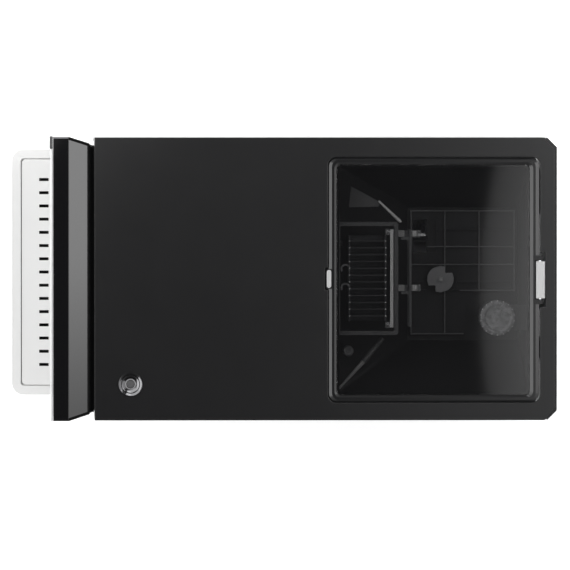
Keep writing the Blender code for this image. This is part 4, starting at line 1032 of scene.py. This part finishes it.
    def probes(self) -> None:
        """Ice-level probe on a gusset at the left, and the fill tube with its boss at the right."""
        level, rod_level = self.probe_level, self.probe_level + 1 * MM
        bm = bmesh.new()
        face = bm.faces.new([bm.verts.new((x, y, level)) for x, y in self.gusset])
        grown = bmesh.ops.extrude_face_region(bm, geom=[face])["geom"]
        lower = [item for item in grown if isinstance(item, bmesh.types.BMVert)]
        bmesh.ops.translate(bm, vec=(0, 0, -1.2 * MM), verts=lower)
        bmesh.ops.recalc_face_normals(bm, faces=bm.faces)
        soften(bm, 0.3 * MM, 2)
        self.shop.piece("level_probe_gusset", bm, CABINET, GUSSET_GREY)
        bm = bmesh.new()
        for (start, end), radii in ((self.probe, (1.0 * MM, 1.7 * MM)),
                                    (self.probe_tip, (2.1 * MM, 1.2 * MM))):
            rod(bm, (*start, rod_level), (*end, rod_level), *radii)
        soften(bm, 0.25 * MM, 2)
        self.shop.piece("level_probe", bm, CABINET, PALE_BAR)
        bm = bmesh.new()
        rod(bm, *self.nozzle, 1.2 * MM, 2.2 * MM)
        soften(bm, 0.3 * MM, 2)
        self.shop.piece("fill_tube_nozzle", bm, CABINET, PALE_HINGE)
        bm = bmesh.new()
        rod(bm, *self.sleeve, 3.0 * MM, 2.4 * MM)
        soften(bm, 0.4 * MM, 2)
        self.shop.piece("fill_tube_sleeve", bm, CABINET, HOUSING_PLASTIC)
        bm = bmesh.new()
        foot, wide = self.boss_foot, 5.6 * MM
        lathe(bm, [(0, foot), (wide, foot), (wide, foot + 11 * MM),
                   (4.6 * MM, foot + 12.5 * MM), (2.2 * MM, foot + 12.5 * MM),
                   (1.8 * MM, foot + 11.5 * MM), (0, foot + 11.5 * MM)], (*self.boss, 0), steps=32)
        self.shop.piece("bin_boss", bm, CABINET, CLIP_GREY)

    def build(self) -> None:
        """Builds the whole sub-assembly."""
        self.tub()
        self.canister()
        self.freezing_block()
        self.side_clips()
        self.curtain()
        self.probes()


# ------------------------------------------------------------------ ice and water delivery
@dataclass
class Delivery:
    """Auger with its tube and motor, chute and flap, levers, tank, pump and hoses."""

    shop: Workshop
    motor_axes: tuple[tuple[str, Axis], ...] = (("auger_motor", Axis.Y),
                                                ("agitator_motor", Axis.Z),
                                                ("fan_motor", Axis.X))
    band_share: float = 0.14
    lever_ribs: int = 4
    lever_rib_pitch: float = 7.0 * MM

    def ice_side(self) -> None:
        """Tube, screw, chute and flap."""
        self.shop.refined("auger_tube", BAY_WHITE, 0.4 * MM, segments=2, sharper=50)
        self.shop.dress("auger_screw", TURNED_STEEL)
        self.shop.refined("ice_chute", DARK_PLASTIC, 0.6 * MM, segments=3, sharper=50)
        self.shop.refined("chute_flap", DARK_PLASTIC, 0.3 * MM, "flap", segments=2)

    def motors(self) -> None:
        """Round motors, each with two end caps and a plain band between them."""
        for node, axis in self.motor_axes:
            low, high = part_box(node)
            along = {Axis.X: 0, Axis.Y: 1, Axis.Z: 2}[axis]
            start, end = low[along], high[along]
            across = 2 if along != 2 else 0
            radius = (high[across] - low[across]) / 2
            centre = [(a + b) / 2 for a, b in zip(low, high)]
            centre[along] = 0
            step = (end - start) * self.band_share
            neck, face = radius - 0.4 * MM, radius - 1.2 * MM
            profile = [(0, start), (face, start), (neck, start + 0.8 * MM),
                       (neck, start + step), (radius, start + step + 0.4 * MM),
                       (radius, end - step - 0.4 * MM), (neck, end - step),
                       (neck, end - 0.8 * MM), (face, end), (0, end)]
            bm = bmesh.new()
            lathe(bm, profile, centre, axis)
            self.shop.piece(f"{node}_turned", bm, CABINET, MOTOR_GREY, [node])

    def levers(self) -> None:
        """Push levers, each with grip ribs on its pad."""
        for node, body in (("ice_lever", "ice_paddle"), ("water_lever", "water_paddle")):
            self.shop.refined(node, PIANO_BLACK, 0.5 * MM, body, segments=3)
            low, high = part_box(node)
            middle, half = (low.x + high.x) / 2, 14.5 * MM
            for index in range(self.lever_ribs):
                z = low.z + 8 * MM + index * self.lever_rib_pitch
                bm = bmesh.new()
                block(bm, (middle - half, low.y + 0.6 * MM, z),
                      (middle + half, low.y + 1.5 * MM, z + 1.4 * MM))
                soften(bm, 0.3 * MM, 2)
                self.shop.piece(f"{node}_rib_{index + 1}", bm, body, TRIM_GREY)

    def water_side(self) -> None:
        """Tank, pump and hoses."""
        self.shop.refined("water_tank", TANK_PLASTIC, 0.8 * MM, segments=2, sharper=50)
        self.shop.refined("tank_cover", WHITE_PLASTIC_PAINTED_GLOW, 0.8 * MM, segments=3, sharper=50)
        self.shop.refined("water_pump", MOTOR_GREY, 0.5 * MM, segments=2, sharper=50)
        for node in ("tank_hose", "spout_hose"):
            self.shop.dress(node, CLEAR_HOSE, 50.0)

    def build(self) -> None:
        """Builds the whole sub-assembly."""
        self.ice_side()
        self.motors()
        self.levers()
        self.water_side()


# ------------------------------------------------------------------ drip tray
@dataclass
class DripTray:
    """Pull-out tray and the slotted grille in it."""

    shop: Workshop
    rim: float = 9.5 * MM
    ledge: float = 4.0 * MM
    floor: float = 2.6 * MM
    corner: float = 12.5 * MM
    shade_mat_thick: float = 2.0 * MM

    def tray(self) -> None:
        """Moulded tray: a rounded block, its top stepped down to a ledge and a well."""
        low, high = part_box("drip_tray")
        grille_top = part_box("drip_grille")[0].z - 0.3 * MM
        bm = bmesh.new()
        plate(bm, low, high, self.corner, 10)
        bm.faces.ensure_lookup_table()
        top = max(bm.faces, key=lambda face: face.calc_center_median().z)
        for border, depth in ((self.rim, high.z - grille_top),
                              (self.ledge, grille_top - low.z - self.floor)):
            bmesh.ops.inset_region(bm, faces=[top], thickness=border, use_even_offset=True)
            sunk = bmesh.ops.extrude_face_region(bm, geom=[top])["geom"]
            bmesh.ops.delete(bm, geom=[top], context="FACES")
            top = next(item for item in sunk if isinstance(item, bmesh.types.BMFace))
            bmesh.ops.translate(bm, vec=(0, 0, -depth), verts=list(top.verts))
        bmesh.ops.recalc_face_normals(bm, faces=bm.faces)
        soften(bm, 1.1 * MM, 3)
        self.shop.piece("drip_tray_moulded", bm, "tray", WHITE_PLASTIC_PAINTED_GLOW, ["drip_tray"])
        grille_low, grille_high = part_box("drip_grille")
        # Dark strip in the gap along the grille's front edge: painted shade of that groove.
        bm = bmesh.new()
        reach, seam = grille_high.x - 3.0 * MM, grille_low.y
        block(bm, (-reach, seam - 0.75 * MM, grille_top + 0.1 * MM),
              (reach, seam + 0.15 * MM, grille_high.z - 0.25 * MM))
        soften(bm, 0.2 * MM, 2)
        self.shop.piece("drip_tray_front_shade_strip", bm, "tray", TRIM_GREY)
        # Dark rubber mat on the well's floor: paints the shade seen through the grille's slots.
        inset = self.rim + self.ledge + 0.6 * MM
        shade_mat_low = low.z + self.floor + 0.2 * MM
        bm = bmesh.new()
        plate(bm, (low.x + inset, low.y + inset, shade_mat_low),
              (high.x - inset, high.y - inset, shade_mat_low + self.shade_mat_thick), 1.6 * MM)
        soften(bm, 0.5 * MM, 2)
        self.shop.piece("drip_tray_shade_mat", bm, "tray", RUBBER)

    def grille(self) -> None:
        """Slotted grille."""
        self.shop.refined("drip_grille", WHITE_PLASTIC_PAINTED_GLOW, 0.3 * MM, "grille", segments=2)

    def build(self) -> None:
        """Builds the whole sub-assembly."""
        self.tray()
        self.grille()


# ------------------------------------------------------------------ power button
@dataclass
class PowerButton:
    """Chromed bezel round a dished push cap."""

    shop: Workshop
    cone_tilt: tuple[float, float] = (17.0, 15.0)
    cone_steps: int = 6
    bowl_tilt: float = 15.5
    bowl_steps: int = 12

    def bezel(self) -> None:
        """Bezel: a thin rolled lip that falls inwards in a wide polished cone."""
        low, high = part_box("button_bezel")
        centre = ((low.x + high.x) / 2, (low.y + high.y) / 2, 0)
        lip = (high.x - low.x) / 2
        bore, wall, top = 9.7 * MM, 10.8 * MM, high.z
        profile = [(bore, low.z), (wall, low.z), (wall, top - 1.5 * MM), (lip, top - 1.5 * MM),
                   (lip, top - 0.7 * MM), (lip - 0.15 * MM, top - 0.25 * MM),
                   (lip - 0.45 * MM, top), (lip - 0.8 * MM, top - 0.05 * MM)]
        start, last = self.cone_tilt
        for step in range(1, self.cone_steps + 1):
            share = step / self.cone_steps
            tilt = math.radians(start + (last - start) * share)
            reach = (lip - 0.8 * MM - bore) * share
            profile.append((lip - 0.8 * MM - reach, top - 0.05 * MM - reach * math.tan(tilt)))
        bm = bmesh.new()
        lathe(bm, profile, centre, steps=96)
        self.shop.piece("button_bezel_turned", bm, CABINET, DARK_CHROME, ["button_bezel"])

    def cap(self) -> None:
        """Dished gloss cap with a raised ring and a satin centre."""
        low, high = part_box("button_cap")
        centre = ((low.x + high.x) / 2, (low.y + high.y) / 2, 0)
        wide, top = (high.x - low.x) / 2, high.z
        stem, skirt = 2.8 * MM, top - 5.5 * MM
        profile = [(0, low.z), (stem, low.z), (stem, skirt), (wide, skirt),
                   (wide, top - 0.5 * MM), (wide - 0.4 * MM, top - 0.1 * MM)]
        inner, start = 5.6 * MM, wide - 0.6 * MM
        bowl = start / math.sin(math.radians(self.bowl_tilt))
        drop = math.sqrt(bowl ** 2 - start ** 2)
        for step in range(self.bowl_steps + 1):
            reach = start + (inner - start) * step / self.bowl_steps
            profile.append((reach, top - 0.2 * MM - (math.sqrt(bowl ** 2 - reach ** 2) - drop)))
        depth = top - profile[-1][1]
        profile += [(4 * MM, top - depth), (0, top - depth - 0.1 * MM)]
        bm = bmesh.new()
        lathe(bm, profile, centre, steps=80)
        self.shop.piece("button_cap_turned", bm, "power_button", DARK_CHROME, ["button_cap"])
        floor = top - depth - 0.05 * MM
        bm = bmesh.new()
        lathe(bm, [(4.3 * MM, floor), (5.6 * MM, floor), (5.5 * MM, floor + 0.5 * MM),
                   (4.9 * MM, floor + 0.8 * MM), (4.4 * MM, floor + 0.5 * MM)], centre, steps=56)
        self.shop.piece("button_ring", bm, "power_button", CLIP_GREY)
        bm = bmesh.new()
        lathe(bm, [(0, floor), (3.9 * MM, floor), (3.7 * MM, floor + 0.5 * MM),
                   (0, floor + 0.7 * MM)], centre, steps=40)
        self.shop.piece("button_centre", bm, "power_button", TRIM_GREY)

    def build(self) -> None:
        """Builds the whole sub-assembly."""
        self.bezel()
        self.cap()
        self.shop.refined("button_switch", DARK_PLASTIC, 0.4 * MM, segments=2, sharper=50)


# ------------------------------------------------------------------ refrigeration
@dataclass
class Refrigeration:
    """Compressor, condenser with its fan, and the copper lines."""

    shop: Workshop
    fan_centre: tuple[float, float, float] = (0.094, 0.145, 0.115)
    blades: int = 5
    hub_reach: float = 14.0 * MM
    blade_reach: float = 61.0 * MM
    seam: float = 0.112
    shoulder: float = 0.130
    fin_pitch: float = 3.1 * MM

    def compressor(self) -> None:
        """Domed shell with a welded seam, on its foot plate."""
        low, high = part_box("compressor_shell")
        centre = ((low.x + high.x) / 2, (low.y + high.y) / 2, 0)
        radius = (high.x - low.x) / 2
        shell, seam, shoulder = radius * 0.965, self.seam, self.shoulder
        profile = [(0, low.z), (radius * 0.9, low.z), (shell, low.z + 6 * MM),
                   (shell, seam - 3 * MM), (radius, seam - 1.5 * MM),
                   (radius, seam + 1.5 * MM), (shell, seam + 3 * MM), (shell, shoulder)]
        rise = high.z - shoulder
        profile += [(shell * math.cos(turn), shoulder + rise * math.sin(turn))
                    for turn in (math.pi / 2 * step / 10 for step in range(1, 10))]
        profile.append((0, high.z))
        bm = bmesh.new()
        lathe(bm, profile, centre, steps=72)
        self.shop.piece("compressor_shell_welded", bm, CABINET, ENAMEL, ["compressor_shell"])
        self.shop.refined("compressor_plate", ENAMEL, 0.8 * MM, segments=2)

    def condenser(self) -> None:
        """Condenser: thin fins across a core, in two end plates."""
        low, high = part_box("condenser")
        core, half, thick = 4 * MM, 0.15 * MM, 1.8 * MM
        foot, head = low.z + 2 * MM, high.z - 2 * MM
        bm = bmesh.new()
        block(bm, (low.x + core, low.y, foot), (high.x - core, high.y, head))
        self.shop.piece("condenser_core", bm, CABINET, FIN_METAL, ["condenser"])
        bm = bmesh.new()
        for index in range(int((high.y - low.y) / self.fin_pitch)):
            y = low.y + self.fin_pitch * (index + 0.5)
            block(bm, (low.x, y - half, foot), (high.x, y + half, head))
        self.shop.piece("condenser_fins", bm, CABINET, ALUMINIUM)
        for name, z in (("lower", low.z), ("upper", high.z - thick)):
            bm = bmesh.new()
            block(bm, (low.x, low.y, z), (high.x, high.y, z + thick))
            soften(bm, 0.3 * MM, 1)
            self.shop.piece(f"condenser_{name}_plate", bm, CABINET, SILVER_SHEET)

    def fan(self) -> None:
        """Fan with a domed hub and five twisted blades, in its shroud."""
        self.shop.refined("fan_shroud", DARK_PLASTIC, 0.5 * MM, segments=2, sharper=50)
        x, y, z = self.fan_centre
        bm = bmesh.new()
        lathe(bm, [(0, x - 12 * MM), (4 * MM, x - 12 * MM), (4 * MM, x - 6 * MM),
                   (15 * MM, x - 6 * MM), (16 * MM, x - 5 * MM), (16 * MM, x + 3 * MM),
                   (13.5 * MM, x + 5.4 * MM), (8 * MM, x + 6 * MM), (0, x + 6 * MM)],
              (0, y, z), Axis.X, steps=48)
        self.shop.piece("fan_hub", bm, "fan", DARK_PLASTIC, ["condenser_fan"])
        for index in range(self.blades):
            bm = bmesh.new()
            bmesh.ops.create_grid(bm, x_segments=8, y_segments=10, size=0.5)
            for vert in bm.verts:
                reach = vert.co.y + 0.5
                chord = (26 + 8 * math.sin(math.pi * reach)) * MM
                pitch = math.radians(34 - 14 * reach)
                along = vert.co.x * chord
                bow = (0.25 - vert.co.x ** 2) * 5 * MM
                radius = self.hub_reach + (self.blade_reach - self.hub_reach) * reach
                sweep = along * math.cos(pitch) / radius
                vert.co = (along * math.sin(pitch) + bow, radius * math.sin(sweep),
                           radius * math.cos(sweep))
            bmesh.ops.solidify(bm, geom=bm.faces[:], thickness=1.3 * MM)
            turn = Matrix.Rotation(2 * math.pi * index / self.blades, 4, "X")
            place = Matrix.Translation((x - 0.5 * MM, y, z)) @ turn
            bmesh.ops.transform(bm, matrix=place, verts=bm.verts)
            bmesh.ops.recalc_face_normals(bm, faces=bm.faces)
            self.shop.piece(f"fan_blade_{index + 1}", bm, "fan", DARK_PLASTIC)

    def build(self) -> None:
        """Builds the whole sub-assembly."""
        self.compressor()
        self.condenser()
        self.fan()
        self.shop.dress("suction_line", SOFT_SEAL, 50.0)
        self.shop.dress("discharge_line", COPPER, 50.0)


# ------------------------------------------------------------------ electrics and back
@dataclass
class BackFittings:
    """Control board, mains inlet and the water fittings."""

    shop: Workshop
    pins: tuple[tuple[float, float], ...] = ((-7.0 * MM, -1.5 * MM), (0, 2.5 * MM),
                                             (7.0 * MM, -1.5 * MM))
    threads: int = 9
    thread_pitch: float = 1.8 * MM
    capacitors: int = 4
    capacitor_place: tuple[float, float] = (-0.100, 0.118)
    capacitor_pitch: float = 21.0 * MM

    def inlet(self) -> None:
        """Mains inlet with three flat pins in its socket."""
        self.shop.refined("power_inlet", DARK_PLASTIC, 0.8 * MM, segments=3)
        low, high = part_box("power_inlet")
        centre_x, centre_z = (low.x + high.x) / 2, (low.z + high.z) / 2
        for index, (aside, above) in enumerate(self.pins, 1):
            bm = bmesh.new()
            x, z = centre_x + aside, centre_z + above
            block(bm, (x - 1 * MM, high.y - 17.4 * MM, z - 2 * MM),
                  (x + 1 * MM, high.y - 4 * MM, z + 2 * MM))
            soften(bm, 0.4 * MM, 2)
            self.shop.piece(f"inlet_pin_{index}", bm, CABINET, CHROME)

    def fittings(self) -> None:
        """Threaded water inlet, drain collar and its finger-grip plug."""
        low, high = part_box("water_inlet")
        radius = (high.x - low.x) / 2
        centre = ((low.x + high.x) / 2, 0, (low.z + high.z) / 2)
        bore, thread_end = 4 * MM, high.y - 3 * MM
        profile = [(bore, low.y), (radius, low.y)]
        for index in range(self.threads):
            y = thread_end - (self.threads - index) * self.thread_pitch
            profile += [(radius, y), (radius - 0.9 * MM, y + self.thread_pitch / 2)]
        profile += [(radius, thread_end), (radius, high.y - 0.6 * MM),
                    (radius - 0.6 * MM, high.y), (bore, high.y)]
        bm = bmesh.new()
        lathe(bm, profile, centre, Axis.Y, steps=48)
        self.shop.piece("water_inlet_turned", bm, CABINET, TURNED_STEEL, ["water_inlet"])
        self.shop.refined("drain_fitting", DARK_PLASTIC, 0.4 * MM, segments=2, sharper=50)
        low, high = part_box("drain_plug")
        radius = (high.x - low.x) / 2
        centre = ((low.x + high.x) / 2, 0, (low.z + high.z) / 2)
        stem, under, face = 8 * MM, high.y - 2.7 * MM, high.y - 0.8 * MM
        profile = [(0, low.y), (stem - 1 * MM, low.y), (stem, low.y + 1 * MM), (stem, under),
                   (radius - 0.4 * MM, under), (radius, high.y - 2.2 * MM),
                   (radius, high.y - 1.3 * MM), (radius - 1 * MM, face),
                   (5 * MM, face), (4.2 * MM, high.y), (0, high.y)]
        bm = bmesh.new()
        lathe(bm, profile, centre, Axis.Y, steps=48)
        self.shop.piece("drain_plug_moulded", bm, "plug", SOFT_SEAL, ["drain_plug"])

    def board(self) -> None:
        """Control board with a row of capacitors."""
        self.shop.refined("control_board", BOARD_GREEN, 0.3 * MM, segments=1)
        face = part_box("control_board")[1].x - 1.8 * MM
        first_y, z = self.capacitor_place
        wide, tall = 4 * MM, 9.6 * MM
        for index in range(self.capacitors):
            bm = bmesh.new()
            y = first_y + index * self.capacitor_pitch
            lathe(bm, [(0, 0), (wide, 0), (wide, 9 * MM), (3.4 * MM, tall), (0, tall)], steps=24)
            turn = Matrix.Translation((face, y, z)) @ Matrix.Rotation(-math.pi / 2, 4, "Y")
            bmesh.ops.transform(bm, matrix=turn, verts=bm.verts)
            self.shop.piece(f"board_capacitor_{index + 1}", bm, CABINET, CHIP_BLACK)

    def build(self) -> None:
        """Builds the whole sub-assembly."""
        self.inlet()
        self.fittings()
        self.board()


# ------------------------------------------------------------------ studio
@dataclass
class Studio:
    """Camera, floor, world and soft lights."""

    groups: ShaderGroups
    top: float = 0.448
    height: float = 10.46
    eye: tuple[float, float] = (-0.192, -0.245)
    aim: tuple[float, float] = (0.0062, 0.0011)
    view_width: float = 0.5841
    sensor: float = 36.0
    sky_gain: tuple[float, float] = (0.32, 1.9)
    sky: tuple[tuple[float, float], ...] = ((0.0, 0.85), (0.45, 1.0), (0.72, 0.80), (0.90, 0.09),
                                            (1.0, 0.05))

    def camera(self) -> None:
        """A long lens far above the machine, its left side up and its front to the left."""
        data = bpy.data.cameras.new("overhead")
        eye = Vector((*self.eye, self.top + self.height))
        aim = Vector((*self.aim, self.top))
        forward = (aim - eye).normalized()
        up = (Vector((-1, 0, 0)) - forward * forward.dot(Vector((-1, 0, 0)))).normalized()
        right = forward.cross(up)
        turn = Matrix((right, up, -forward)).transposed()
        data.sensor_width = self.sensor
        data.lens = self.sensor * (aim - eye).length / self.view_width
        data.clip_end = 60.0
        made = bpy.data.objects.new("overhead", data)
        made.matrix_world = Matrix.Translation(eye) @ turn.to_4x4()
        bpy.context.scene.collection.objects.link(made)
        bpy.context.scene.camera = made

    def floor(self) -> None:
        """A plain white floor, which lights itself a little so that it stays even."""
        bm = bmesh.new()
        bmesh.ops.create_grid(bm, x_segments=1, y_segments=1, size=30.0)
        mesh = bpy.data.meshes.new("studio_floor")
        bm.to_mesh(mesh)
        bm.free()
        made = bpy.data.objects.new("studio_floor", mesh)
        material = bpy.data.materials.new("white_paper")
        material.use_nodes = True
        shader = material.node_tree.nodes["Principled BSDF"]
        shader.inputs["Base Color"].default_value = (0.86, 0.86, 0.86, 1.0)
        shader.inputs["Roughness"].default_value = 0.9
        shader.inputs["Specular IOR Level"].default_value = 0.0
        shader.inputs["Emission Color"].default_value = (1, 1, 1, 1)
        shader.inputs["Emission Strength"].default_value = 0.45
        mesh.materials.append(material)
        bpy.context.scene.collection.objects.link(made)

    def world(self) -> None:
        """Bright low down and dim overhead, and brighter in front and behind than at the sides."""
        world = bpy.data.worlds.new("studio")
        world.use_nodes = True
        bpy.context.scene.world = world
        nodes, links = world.node_tree.nodes, world.node_tree.links
        where = nodes.new("ShaderNodeTexCoord")
        split = nodes.new("ShaderNodeSeparateXYZ")
        ramp = nodes.new("ShaderNodeValToRGB")
        links.new(where.outputs["Generated"], split.inputs["Vector"])
        links.new(split.outputs["Z"], ramp.inputs["Fac"])
        for element, (height, value) in zip(self.ramp_elements(ramp), self.sky):
            element.position = height
            element.color = (value, value, value, 1.0)
        squared = nodes.new("ShaderNodeMath")
        squared.operation = "MULTIPLY"
        links.new(split.outputs["Y"], squared.inputs[0])
        links.new(split.outputs["Y"], squared.inputs[1])
        gain = nodes.new("ShaderNodeMapRange")
        gain.inputs["To Min"].default_value = self.sky_gain[0]
        gain.inputs["To Max"].default_value = self.sky_gain[1]
        links.new(squared.outputs["Value"], gain.inputs["Value"])
        links.new(ramp.outputs["Color"], nodes["Background"].inputs["Color"])
        links.new(gain.outputs["Result"], nodes["Background"].inputs["Strength"])

    def ramp_elements(self, ramp: bpy.types.Node) -> bpy.types.ColorRampElements:
        """The stops of a colour ramp, made as many as the sky has."""
        while len(ramp.color_ramp.elements) < len(self.sky):
            ramp.color_ramp.elements.new(0.5)
        return ramp.color_ramp.elements

    def scrim(self, name: str, place: Point, aim: Point, size: tuple[float, float],
              falloff: Sequence[tuple[float, float]], radial: bool = False) -> None:
        """A glowing sheet that lights the object and shows in its gloss, hidden from the camera.

        Args:
            name: its name.
            place: its centre.
            aim: the point that it faces.
            size: its width and its height, or its two diameters if radial.
            falloff: (distance, radiance) stops, across it from its centre, or out from it.
            radial: whether it is round.
        """
        bm = bmesh.new()
        if radial:
            bmesh.ops.create_circle(bm, cap_ends=True, segments=96, radius=0.5)
        else:
            bmesh.ops.create_grid(bm, x_segments=1, y_segments=1, size=0.5)
        bmesh.ops.scale(bm, vec=(size[0], size[1], 1), verts=bm.verts)
        mesh = bpy.data.meshes.new(name)
        bm.to_mesh(mesh)
        bm.free()
        made = bpy.data.objects.new(name, mesh)
        made.location = place
        made.rotation_euler = (Vector(place) - Vector(aim)).to_track_quat("Z", "Y").to_euler()
        made.visible_camera = False
        made.visible_shadow = False
        material = bpy.data.materials.new(f"{name}_glow")
        material.use_nodes = True
        nodes, links = material.node_tree.nodes, material.node_tree.links
        nodes.clear()
        where = nodes.new("ShaderNodeTexCoord")
        reach = nodes.new("ShaderNodeVectorMath" if radial else "ShaderNodeSeparateXYZ")
        if radial:
            reach.operation = "LENGTH"
        links.new(where.outputs["Object"], reach.inputs[0])
        ramp = nodes.new("ShaderNodeFloatCurve")
        span = falloff[-1][0] - falloff[0][0]
        spread = nodes.new("ShaderNodeMapRange")
        spread.inputs["From Min"].default_value = falloff[0][0]
        spread.inputs["From Max"].default_value = falloff[-1][0]
        links.new(reach.outputs["Value" if radial else "X"], spread.inputs["Value"])
        links.new(spread.outputs["Result"], ramp.inputs["Value"])
        most = max(value for _, value in falloff)
        curve = ramp.mapping.curves[0]
        for distance, value in falloff[1:-1]:
            curve.points.new((distance - falloff[0][0]) / span, value / most)
        curve.points[0].location = (0.0, falloff[0][1] / most)
        curve.points[-1].location = (1.0, falloff[-1][1] / most)
        for point in curve.points:
            point.handle_type = "VECTOR"
        ramp.mapping.update()
        glow = nodes.new("ShaderNodeEmission")
        strength = nodes.new("ShaderNodeMath")
        strength.operation = "MULTIPLY"
        strength.inputs[1].default_value = most
        links.new(ramp.outputs["Value"], strength.inputs[0])
        links.new(strength.outputs[0], glow.inputs["Strength"])
        back = nodes.new("ShaderNodeNewGeometry")
        clear = nodes.new("ShaderNodeBsdfTransparent")
        mix = nodes.new("ShaderNodeMixShader")
        sink = nodes.new("ShaderNodeOutputMaterial")
        links.new(back.outputs["Backfacing"], mix.inputs[0])
        links.new(clear.outputs[0], mix.inputs[1])
        links.new(glow.outputs[0], mix.inputs[2])
        links.new(mix.outputs[0], sink.inputs["Surface"])
        mesh.materials.append(material)
        bpy.context.scene.collection.objects.link(made)

    def lights(self) -> None:
        """The scrims seen in the window, the head's slope, the lid's lips and the front corner."""
        self.scrim("window_scrim", (0.0865, 1.1616, 3.448), (0.0865, 1.1616, 0), (1.6666, 1.6666),
                   ((0.0, 1.32), (0.745, 1.24), (0.770, 1.03), (0.790, 0.84), (0.803, 0.72),
                    (0.8175, 0.61), (0.827, 0.46), (0.8333, 0.33)), radial=True)
        self.scrim("rear_scrim", (0.0, 2.083, 2.376), (0, -0.215, 0.448), (2.6, 1.3),
                   ((-0.6, 1.15), (-0.24, 1.4), (-0.03, 3.2), (0.2, 3.5), (0.8, 3.5)))
        self.scrim("front_scrim", (-0.1, -1.75, 2.5), (0, 0.15, 0.448), (2.6, 1.5),
                   ((-0.5, 3.4), (0.5, 3.4)))
        self.scrim("front_corner_scrim", (-0.37, -0.42, 1.6), (-0.37, -0.42, 0), (0.56, 0.56),
                   ((0.0, 2.4), (0.28, 2.4)), radial=True)
        self.scrim("rear_corner_scrim", (-0.40, 0.62, 1.6), (-0.40, 0.62, 0), (0.50, 0.50),
                   ((0.0, 6.5), (0.25, 6.5)), radial=True)
        self.scrim("button_scrim", (-0.89, -0.157, 2.41), (0.108, -0.157, 0.448), (0.95, 0.42),
                   ((-0.475, 4.0), (0.475, 4.0)))
        self.scrim("left_scrim", (-1.5, -0.2, 2.1), (0.1, -0.157, 0.448), (0.9, 0.5),
                   ((-0.45, 3.0), (0.45, 3.0)))

    def colour_management(self) -> None:
        """Plain display colours, so that white paper is white."""
        bpy.context.scene.view_settings.view_transform = "Standard"
        bpy.context.scene.view_settings.look = "None"

    def build(self) -> None:
        """Builds the whole studio."""
        self.camera()
        self.floor()
        self.world()
        self.lights()
        self.colour_management()


def main() -> None:
    """Builds the studio and every sub-assembly."""
    logging.basicConfig(level=logging.INFO, format="%(name)s: %(message)s")
    shop = Workshop()
    Studio(shop.groups).build()
    for assembly in (Cabinet(shop), DispenserHead(shop), WindowLid(shop), IceBin(shop),
                     Delivery(shop), DripTray(shop), PowerButton(shop), Refrigeration(shop),
                     BackFittings(shop)):
        assembly.build()
    LOG.info("%d pieces made", shop.made)


if __name__ == "__main__":
    main()
